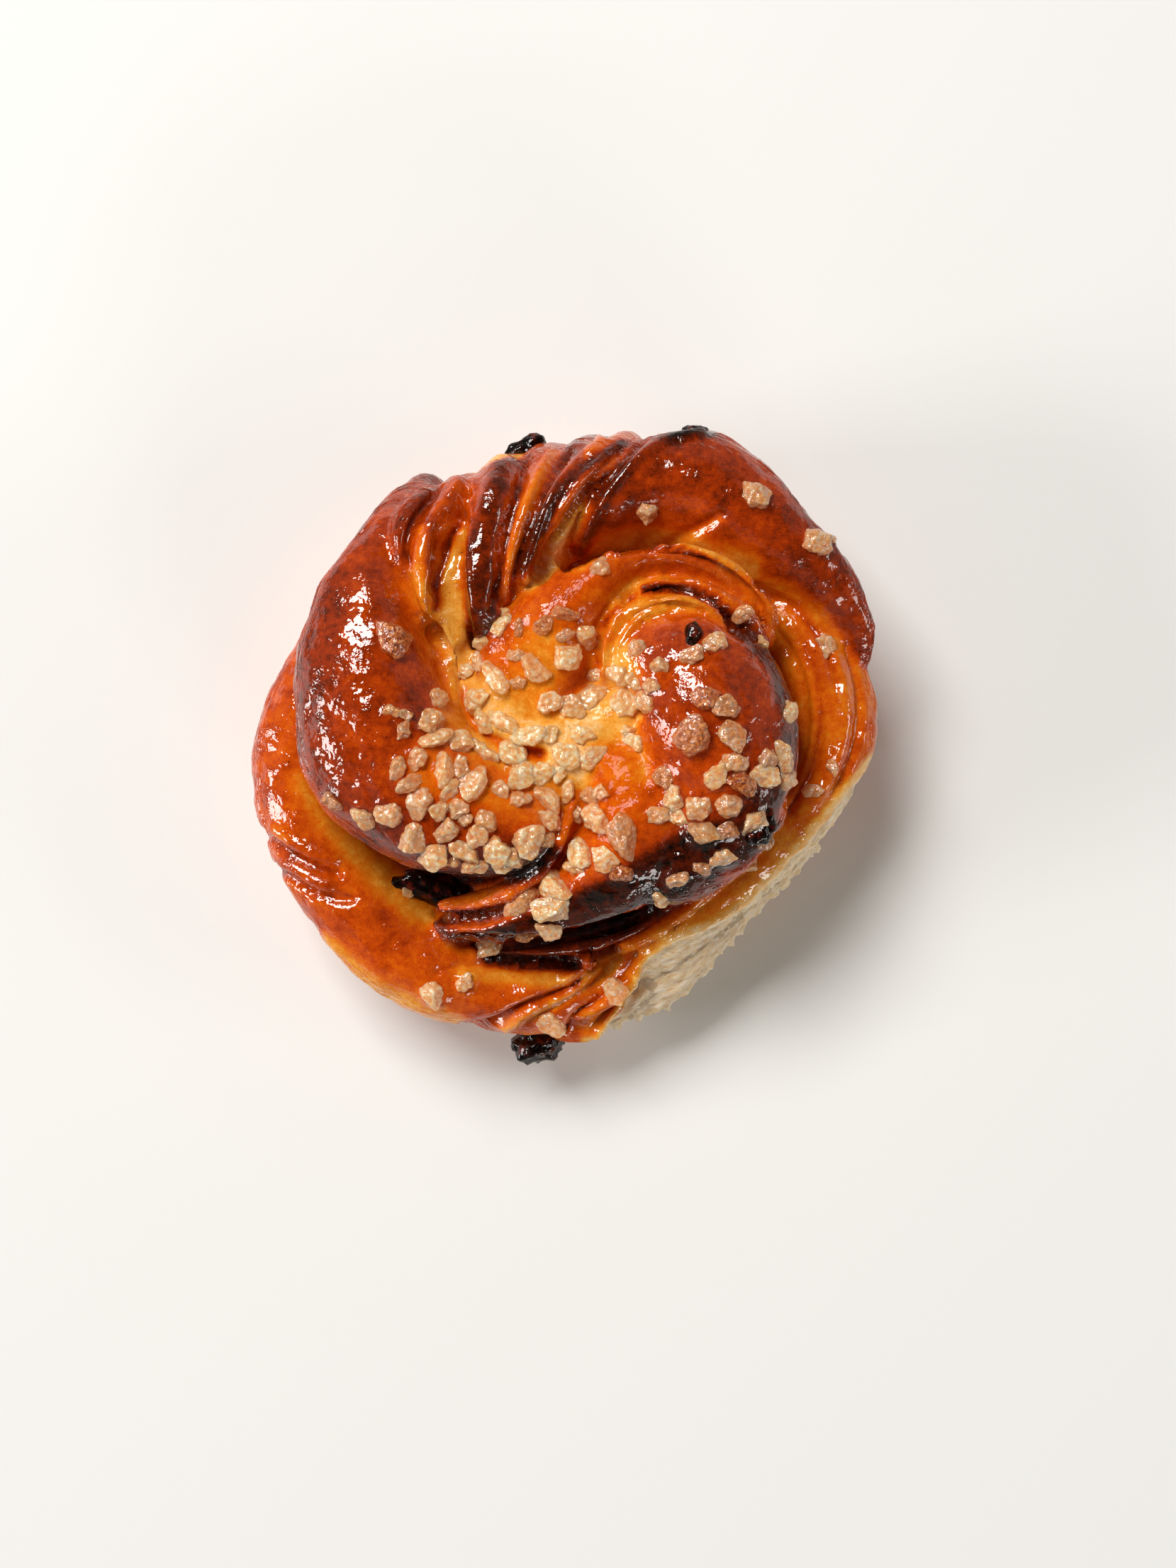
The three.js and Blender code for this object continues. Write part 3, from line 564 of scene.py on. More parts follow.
# %% Grooves and ridges: half width, height (a groove is below 0), places
FOLDS = [
    # where the ring buckled at the lower left
    (1.1, -1.3, [(-51, -14.5), (-47.5, -16.5), (-44, -18.5), (-41, -20), (-37.5, -21)]),
    (1.1, -1.3, [(-48.5, -20.5), (-45, -22), (-42, -24), (-38.5, -25.3), (-35, -25.3)]),
    (1.6, 0.6, [(-48, -14), (-45, -16.2), (-42, -17.8), (-38, -19)]),
    (1.6, 0.6, [(-46.5, -19.8), (-43, -21.8), (-39, -23.2)]),
    # the pleats from left to right, a groove and then a ridge
    (1.1, -1.4, [(-20, 41), (-23.5, 36), (-25, 31), (-24.8, 27), (-23, 21), (-20, 15)]),
    (1.7, 1.2, [(-17, 42), (-20.5, 37), (-22.6, 32), (-22.8, 27), (-21.5, 22)]),
    (1.2, -1.5, [(-15.5, 40), (-17.6, 35), (-19.3, 30.5), (-20.6, 26), (-20.4, 21.5)]),
    (2.6, -1.4, [(-16.6, 36), (-18, 30), (-18.2, 24), (-17.4, 17), (-16, 12)]),
    (0.9, -1.2, [(-15.6, 42), (-16.2, 35), (-16, 28), (-15.2, 21), (-14.4, 16)]),
    (3.2, 1.4, [(-10, 45), (-11.6, 38), (-12.7, 31), (-13, 24), (-12.8, 19)]),
    (0.9, -1.6, [(-6, 47), (-7.4, 40), (-9, 34), (-10, 28), (-11.2, 21)]),
    (1.3, 0.9, [(-2.5, 47), (-5, 40.5), (-7.6, 33.5), (-9, 27.5), (-9.6, 23)]),
    (0.9, -1.4, [(1, 48), (-2.4, 41.5), (-5.4, 34), (-7.4, 28), (-8, 24)]),
    (1.3, 1.3, [(6, 49), (1, 43.5), (-2.6, 38), (-5, 32), (-6.6, 26.5)]),
    (2.0, -1.7, [(5, 41), (2.2, 37), (-0.6, 32.6), (-4, 27)]),
    (1.0, -1.2, [(9, 47), (4.6, 42), (1.6, 37.8), (-1.4, 33.4), (-4.4, 28.4)]),
    (1.1, -1.4, [(13, 49), (8.5, 44), (5, 39.5), (2.5, 35), (0.8, 31)]),
    # the rolled edge of the top lobe
    (1.3, 0.9, [(22, 50), (16, 48.6), (11, 45), (7.6, 41), (5, 37), (3, 32.6)]),
    # their sharp crests
    (0.8, 0.7, [(-16.5, 42), (-19.5, 37.5), (-21.6, 33), (-22, 28), (-21, 23)]),
    (0.8, 0.7, [(-14.4, 42), (-15, 35), (-15, 28), (-14.4, 21)]),
    # between the top lobe and the swirl, and between the leaves of the swirl
    (1.0, -2.2,
     [(0.4, 28.2), (5, 29.8), (10, 30.8), (16, 31), (21, 29.4), (26, 26.8), (30.5, 22.8), (33, 18)]),
    (1.2, -2.0, [(9.5, 23), (13, 24.3), (16.5, 24.8), (20, 24.4), (23, 23), (25.6, 21), (27.8, 18.6)]),
    (0.8, -1.2, [(5.2, 11.5), (5.4, 16), (6.6, 19.4), (9.2, 22), (12, 23.8)]),
    (0.8, -1.0, [(7.2, 11), (7.6, 15.5), (10, 19.3), (14, 21.6), (19, 21.5), (24, 19.6), (28, 16.8)]),
    (1.4, -0.7, [(25, 36.4), (21.5, 34.6), (17, 32.6)]),
    # the crease on the inner side of the left lobe
    (1.3, -1.5, [(-21, 18.5), (-18.2, 13), (-16.2, 9), (-15.6, 5.5), (-13, 2), (-10, 0), (-7, -1)]),
    (1.4, -1.6, [(-6.4, -1.2), (-3.6, -1.8)]),
    # the ribbons down the right side
    (1.0, -1.0, [(31, 25.5), (35.5, 23.6), (39.5, 20.3), (42.8, 15.5), (44.4, 10)]),
    (0.9, -0.8, [(33, 19.5), (36, 16.5), (38.6, 11), (39.5, 4), (38.5, -3), (35.5, -10)]),
    (1.2, 0.5, [(34, 21.8), (38, 18), (41, 12.5), (42, 6)]),
    (0.9, -1.0, [(46.5, 16), (48, 10), (48.2, 4), (47, -2), (44, -8)]),
    (1.3, 0.7, [(44, 14), (45.6, 8), (45.6, 2), (44, -4), (41, -9.5)]),
    (0.8, -1.0, [(36.6, 20), (40, 14.5), (41.6, 8), (41.8, 2), (40, -5), (36.6, -11)]),
    (1.1, -1.0, [(18, -30), (24, -26), (30, -20.5), (34, -15)]),
    # the ribbons at the bottom
    (1.0, -0.9, [(-21, -37.2), (-14, -36.3), (-6, -36.6), (1, -36.6)]),
    (1.1, -1.9, [(-17, -47), (-11.5, -46), (-6.6, -43.4), (-0.8, -41), (2.2, -39.3)]),
    (0.9, -1.7, [(-0.4, -48.4), (2.1, -45), (5.4, -42.2), (9.2, -38.2), (11.5, -35)]),
    (1.3, 1.0, [(-10, -47), (-4.4, -43.9), (1, -41), (5.4, -37.8)]),
    (0.8, -0.9, [(-7, -46.4), (-2, -43.6), (3, -40.8), (7.4, -37.4)]),
    (1.2, 1.0, [(3.4, -46.6), (6.6, -43.4), (10, -39.6), (12.4, -36)]),
    (1.1, 2.2, [(0.3, -39.4), (2, -37.8), (3.7, -35.6)]),
    (0.9, -1.3, [(5.6, -34.4), (10, -32.6), (15, -29.6), (20, -26)]),
    (0.9, 0.9, [(5.2, -36), (10, -34), (15.4, -31), (21, -27.4)]),
    # the thin curled edge of the crust beside the tear
    (0.8, 1.0, [(5.2, -49), (8.2, -45), (11, -40.8), (12.8, -36.4), (16.6, -33), (22, -30.6), (28, -27)]),
    # the layers of the tail's open end
    (1.2, -1.6, [(-21, -28.2), (-16, -28.5), (-12, -27.8), (-8, -26.4), (-4, -24.6)]),
    (1.0, 0.5, [(-17.5, -30.8), (-13, -30), (-9, -28.4)]),
    # the hollow below the tail
    (1.8, -2.0, [(-17, -31.8), (-9, -32.4), (-1, -31.4), (7, -29.8), (13, -27.4)]),
    (1.6, -2.0, [(-13, -35), (-6, -36), (1, -35), (7, -33.4)]),
]

for half_width, height, places in FOLDS:
    skin = skin + normals * (stroke(places, half_width, skin) * seen * height)[:, None]
skin = averaged(skin, edges, 1, 0.4)
normals = normals_of(dough.data, skin)
print(len(FOLDS), "folds pressed in")

# %% [markdown]
# Pearl sugar is pressed from small crystals, so a grain is a rough lump with small facets. Scattering would
# put the grains anywhere, but here they lie in the drifts that the baker's hand left, so the list says
# where each one lies, how long and wide it is and which way it points. The last number says how far it
# browned: 0 is white sugar, and 1 is caramel.

# %% The pearl sugar: x, y, length, width, turn in degrees, how brown
SUGAR = [
    # on the left lobe
    (-27.4, 16.4, 5.4, 4.6, -40, 0.9), (-20.1, 6.7, 3.1, 2.7, 0, 0.35), (-26.7, 4.9, 2.6, 1.8, -10, 0.5),
    (-24.9, 4.3, 2.2, 1.7, -20, 0.5), (-25.1, 2.1, 3.1, 2.3, 65, 0.5), (-21.3, 3.1, 4.1, 3.7, 20, 0.3),
    (-20.2, 0.5, 5.2, 2.2, 24, 0.15), (-16.6, -0.1, 3.7, 3.4, 35, 0.2), (-12.9, -1.5, 4.9, 2.1, -38, 0.1),
    (-23.2, -2.7, 3.6, 2.6, 65, 0.4), (-26, -4.1, 3.5, 2.3, 75, 0.4), (-24.2, -6.3, 4, 2.4, 20, 0.45),
    (-18.8, -4.4, 5, 2.6, 88, 0.15), (-16.1, -4, 3, 2.1, 80, 0.4), (-14.4, -6.4, 5.4, 3.3, 62, 0.2),
    (-17.9, -7.6, 3.5, 2.2, 55, 0.25), (-22.6, -9.5, 4.5, 3.4, 75, 0.3), (-19.5, -10.7, 3.3, 2.7, -10, 0.35),
    (-16.5, -10.1, 2.9, 2.6, 30, 0.35), (-15.6, -12, 2.2, 1.8, -20, 0.45),
    (-18.6, -13.8, 3.5, 2.9, 40, 0.35), (-12.1, -12.3, 3.3, 2.9, -45, 0.35),
    (-10.1, -7.6, 2.9, 2.5, -40, 0.3), (-7, -8.9, 3.4, 2.1, 10, 0.4), (-27.6, -10.9, 3.9, 3.3, -15, 0.3),
    (-31.4, -11.5, 3.8, 3, -55, 0.25), (-36.5, -9.3, 3.2, 2.4, -50, 0.6),
    # along the lobe's lower edge
    (-23.5, -14.9, 4.7, 3.8, 60, 0.25), (-20.5, -17.9, 4.7, 4.2, 20, 0.1), (-17.6, -18.6, 2.5, 2, 0, 0.4),
    (-15.7, -17.1, 4.7, 3, -50, 0.2), (-13.6, -14.8, 3.4, 2.9, 80, 0.25), (-14.1, -19.3, 3.7, 2.3, 15, 0.35),
    (-10.5, -16.9, 4.2, 3.7, 80, 0.05), (-8.2, -17.9, 3.5, 2.9, -20, 0.15), (-9.6, -19.1, 3.2, 2.4, 10, 0.2),
    (-5.7, -15.1, 4.9, 4, 70, 0.2), (-2.7, -15.3, 2.8, 2.2, -20, 0.3),
    # in the saddle
    (-13.9, 6.8, 4, 3.3, 70, 0.05), (-12.8, 3.7, 4.8, 2.2, -58, 0.1), (-9.4, 3.1, 5.6, 2.7, -50, 0.05),
    (-5.5, 1.1, 5.2, 2.7, 15, 0.05), (-8.2, -1.7, 4, 3.8, 10, 0.0), (-7.3, -5.2, 4.5, 4, 40, 0.05),
    (-3.9, -5, 4.4, 3, 10, 0.05), (-0.9, -4.4, 3.4, 2.4, 60, 0.1), (-2.1, 1.3, 2.8, 1.9, 60, 0.1),
    (0.4, -1.8, 4.4, 3.4, -40, 0.05), (2.6, 1.3, 3.8, 2.4, -25, 0.05), (4.5, -2.3, 4.4, 3.2, 15, 0.1),
    (-3, -9, 5.2, 3.2, -55, 0.2), (-2.6, -12.4, 4.4, 2.3, -25, 0.25), (0.6, -7.6, 3.4, 1.8, 80, 0.2),
    # on the arm that rises to the swirl
    (-9.4, 20.8, 2.1, 1.8, 0, 0.05), (-9.7, 18.8, 3.4, 2.4, 50, 0.1), (-13, 16.3, 3.2, 2.6, -20, 0.05),
    (-3.3, 18.5, 3.3, 2.4, 60, 0.65), (0.1, 20.4, 4.1, 2.4, 5, 0.65), (3.6, 17.2, 4.4, 2.9, -40, 0.1),
    (0.4, 13.7, 4.4, 4, 30, 0.05), (-7.2, 18.4, 2.5, 1.7, 80, 0.6), (0.1, 17.1, 2.7, 2, 20, 0.5),
    (-7.7, 13.7, 2.6, 2.1, 30, 0.4), (-4.6, 11.8, 4.8, 3.4, -15, 0.25), (-10.7, 10.5, 5.3, 2.5, -56, 0.05),
    (-13.6, 12.9, 3.6, 1.9, -62, 0.15), (-16.1, 11.6, 2.8, 2, 30, 0.1), (-7.3, 9.5, 2.2, 1.7, 20, 0.45),
    (5, 10.9, 3.1, 2.1, -20, 0.25), (4.4, 7.4, 4.5, 3.4, 68, 0.2), (-2.4, 6.6, 3.6, 3, 40, 0.2),
    (1.5, 5.7, 3.7, 3.3, 0, 0.3),
    # on the crown
    (9.9, 6.5, 4.3, 3.8, 50, 0.15), (8.6, 10.7, 3.4, 3, 0, 0.2), (11.5, 14.8, 3, 2.4, 20, 0.4),
    (11.2, 9.7, 3, 2.7, 0, 0.25), (13.2, 6.1, 4, 3.2, -60, 0.25), (13.9, 8.9, 2.6, 2.2, 0, 0.35),
    (11.3, 0.4, 3.9, 2.3, -30, 0.05), (10.2, 1.9, 2.2, 1.7, 10, 0.15), (15, 12.1, 2.7, 2.2, 0, 0.35),
    (20, 13.6, 3.3, 2.4, 5, 0.5), (23.6, 15.4, 3.4, 3, 50, 0.35), (21.9, 6.9, 3.9, 3.2, -15, 0.75),
    (25.3, 5.6, 3.8, 3.2, -15, 0.55), (20.3, 1.2, 5.4, 4.5, 55, 0.7), (26.2, 1.1, 4, 3.4, -30, 0.5),
    (16, -5.4, 3.2, 2.8, -30, 0.6), (26.5, -3.1, 3.9, 2.8, 0, 0.4), (23.6, -5.2, 3.8, 3, 80, 0.1),
    (27, -6, 3.6, 3.4, 0, 0.8), (28.9, -7.1, 2.5, 1.9, 60, 0.7), (31.7, -2.6, 3.1, 2.6, -15, 0.5),
    (31.1, -4.9, 4.2, 3.2, -12, 0.1), (34.2, -2.1, 4.8, 2.6, -75, 0.2), (35.4, 4.7, 3.6, 2.6, 60, 0.15),
    (35, -5.7, 3.3, 2.7, 20, 0.3), (17.5, -8.6, 3.8, 2.9, 80, 0.1), (18.1, -11.6, 3.6, 2.4, -42, 0.15),
    (14.9, -11.3, 3.1, 2.5, 10, 0.35), (21, -10.1, 4.1, 3.7, 50, 0.3), (25.9, -9.8, 3.5, 3.1, 20, 0.45),
    (30.2, -12.3, 4.5, 3, 15, 0.3), (22, -14, 4.2, 3.3, -40, 0.4), (25.4, -13.7, 3.3, 2.6, 10, 0.65),
    (31.6, -15.6, 2.8, 2.4, 30, 0.5), (25.1, -17.9, 3.7, 2.6, 0, 0.35),
    # on the face of the tail and its cliff
    (1.8, -11.3, 2.7, 1.8, -70, 0.35), (4, -8.4, 3.6, 2.6, 10, 0.4), (5.9, -7.7, 2.7, 2.2, 0, 0.35),
    (5.3, -12, 4.7, 3.4, -25, 0.15), (9.6, -14.8, 6.4, 4, -65, 0.5), (2.8, -17.6, 4.9, 3.4, -62, 0.05),
    (6.6, -18.5, 4, 3.7, -20, 0.1), (1.7, -20, 3.5, 2.2, -20, 0.3), (-1.2, -22.8, 6, 4, -20, 0.05),
    (-1.7, -26.2, 5.8, 3.5, 10, 0.1), (-7.1, -25.6, 6, 3.7, 60, 0.45), (9.1, -20.4, 3.3, 2.8, 10, 0.8),
    (-2.3, -29.6, 3.4, 3.1, 20, 0.25), (-6.3, -31, 4.2, 2.1, 12, 0.6), (-13, -33.4, 5, 3, 22, 0.3),
    (15.2, -24.5, 3.2, 2.6, -50, 0.25), (17.9, -21.5, 3.4, 2.1, 25, 0.5), (21.7, -19.8, 2.7, 2, 0, 0.6),
    (29.9, -19.7, 3, 2.5, 10, 0.3),
    # alone, round the bun
    (13.2, 37.5, 3.4, 2.9, -40, 0.35), (30.6, 39.7, 4.5, 3.4, -35, 0.4), (40.8, 32.4, 4.4, 3.5, -10, 0.35),
    (42.8, 32.9, 2, 1.7, 0, 0.5), (5.6, 27.7, 3, 2.7, 30, 0.4), (42.6, 16.2, 3.2, 2.8, -60, 0.35),
    (28.3, 20.6, 3.2, 2.4, 20, 0.45), (31.4, 15.7, 2.6, 1.6, -50, 0.3), (40.6, -7.6, 3.1, 2.1, 20, 0.3),
    (43.6, -3.8, 2.4, 1.8, 80, 0.4), (-21.6, -41.2, 3.9, 3.2, -60, 0.15), (-16.3, -39.3, 3, 2.5, 50, 0.3),
    (-2.4, -46.4, 4.4, 3.8, -20, 0.3), (8.2, -41, 4.2, 3.6, -50, 0.25), (-26, -24, 3.5, 2.8, 30, 0.3),
    (-23.8, -23.4, 2.6, 2, 10, 0.4),
]
print(len(SUGAR), "grains of sugar")

# %% [markdown]
# Each grain sits in the glaze: the syrup drew up round it and set, and the dough rose a little beside it.
# So before the grains are made, the skin gets a low collar round the place of each one.

# %% A collar of syrup round each grain
COLLAR = {"height": 0.34, "at": 0.95, "spread": 0.34}  # height in mm, the others in grain radii

collar = np.zeros(len(skin))
for x, y, length, width, turn, _ in SUGAR:
    from_middle = oval_distance(skin, x, y, length / 2, width / 2, turn)
    ring = np.exp(-(((from_middle - COLLAR["at"]) / COLLAR["spread"]) ** 2))
    collar = np.maximum(collar, ring * seen)
skin = skin + normals * (COLLAR["height"] * collar)[:, None]
normals = normals_of(dough.data, skin)
print("collars raise", round((collar > 0.3).mean() * 100, 1), "% of the skin")

# %% [markdown]
# The bun was pulled off its neighbour at the lower right. The tear laid the crumb bare: pale, soft and in
# layers that follow the coil. Seen from above it lies outside one line, the edge where the crust broke. A
# mask marks that side, and noise stretched along the coil gives the layers a ragged relief.

# %% The torn crumb
CRUST_EDGE = [
    (5.5, -50), (8.5, -45.5), (11.5, -41), (13.2, -36.6), (17, -33.4), (22, -31.2), (27, -28.6), (31, -25.6),
    (36, -20.6), (40.4, -15), (44.4, -10), (48.4, -6), (52.4, -3),
]
TEAR = {"top": 29, "farthest_y": 2, "ragged": 0.5, "layers": 0.6, "sunk": 0.5, "wisps": 2.8}  # mm
LAYERED, DRAWN_UP = (0.5, 0.5, 1.6), (1, 1, 0.5)  # squeeze noise into layers, or draw it up into tufts


def beyond(places, points):
    """How far points lie to the right of a line, in mm and seen from above: below 0 on its left."""
    line = smooth_line(places)
    gaps = gaps_to(line, points)
    near = np.clip(gaps.argmin(1), 1, len(line) - 2)
    heading, offset = line[near + 1] - line[near - 1], points[:, :2] - line[near]
    side = np.sign(heading[:, 1] * offset[:, 0] - heading[:, 0] * offset[:, 1])
    return side * gaps.min(1)


height = skin[:, 2]
ragged = TEAR["ragged"] * noise_at(skin, 3.2, 2.2)
outside = between(beyond(CRUST_EDGE, skin) + ragged, -0.1, 0.5)
torn = outside * between(TEAR["top"] - height, 0, 2) * (skin[:, 1] < TEAR["farthest_y"])
torn = averaged(torn, edges, 1)[:, 0]
layers = noise_at(skin * LAYERED, 1.5, 5.0, 3)
tufts = np.clip(noise_at(skin * DRAWN_UP, 2.2, 9.0, 3) - 0.05, 0, 0.5)
wisps = tufts * between(height, 2, 5) * between(20 - height, 0, 6)
crumb_relief = layers * TEAR["layers"] - TEAR["sunk"] + wisps * TEAR["wisps"]
skin = skin + normals * (torn * crumb_relief * above_base)[:, None]
print("torn crumb on", round((torn > 0.5).mean() * 100, 1), "% of the skin")

# %% [markdown]
# Browning is one number for each point: 0 is raw pale dough and 1 is burnt; later it also carries painted
# shade. It starts from how each strand was baked, since a strand that lay higher or was brushed with more
# egg came out darker. Crowns are browned more than hollows, and the side is paler where the heat came late.

# %% The browning of each strand
BROWNING_AND_SHADE = {
    "outer_ring": 0.57, "hidden_ring": 0.6, "right_ring": 0.47, "torn_side": 0.44, "saddle": 0.3,
    "left_lobe": 0.67, "top_lobe": 0.68, "outer_arc": 0.54, "middle_arc": 0.44, "inner_arc": 0.42,
    "crown": 0.62, "tail": 0.56, "tail_edge": 0.5, "pleat_valley": 0.34, "crease_filling": 0.44,
    # lower_layer lies in the hollow under the tail: its dark 0.88 is browning with painted shade
    "lower_layer": 0.88, "bottom_ridge": 0.56, "bottom_ribbon": 0.42, "bottom_fold": 0.5, "pleat_0": 0.66,
    "pleat_1": 0.62, "pleat_2": 0.74, "pleat_3": 0.58, "pleat_4": 0.7, "pleat_5": 0.5, "middle": 0.6,
}
UNEVEN = {"crowns": 0.05, "open": 0.12, "broad": 0.07, "fine": 0.06}  # how far each moves the browning
USUAL_OPENNESS = 0.7
PALE_SIDE = {"brown_and_shade": 0.32, "strength": 0.7, "below": 14, "over": 10}  # the last two in mm

# browning per strand; painted shade is written into the same number further on
brown_and_shade = averaged(np.array([BROWNING_AND_SHADE[name] for name in names])[strand_of], edges, 2)[:, 0]
more_open = between(openness, 0, 0.8) - USUAL_OPENNESS
brown_and_shade += UNEVEN["crowns"] * np.clip(bulge, -1, 1) + UNEVEN["open"] * more_open
brown_and_shade += UNEVEN["broad"] * noise_at(skin, 9, 11.0) + UNEVEN["fine"] * noise_at(skin, 2.6, 4.0)
low_side = between(PALE_SIDE["below"] - skin[:, 2], 0, PALE_SIDE["over"])
brown_and_shade += (PALE_SIDE["brown_and_shade"] - brown_and_shade) * low_side * PALE_SIDE["strength"]
print("browning from", round(brown_and_shade.min(), 2), "to", round(brown_and_shade.max(), 2))
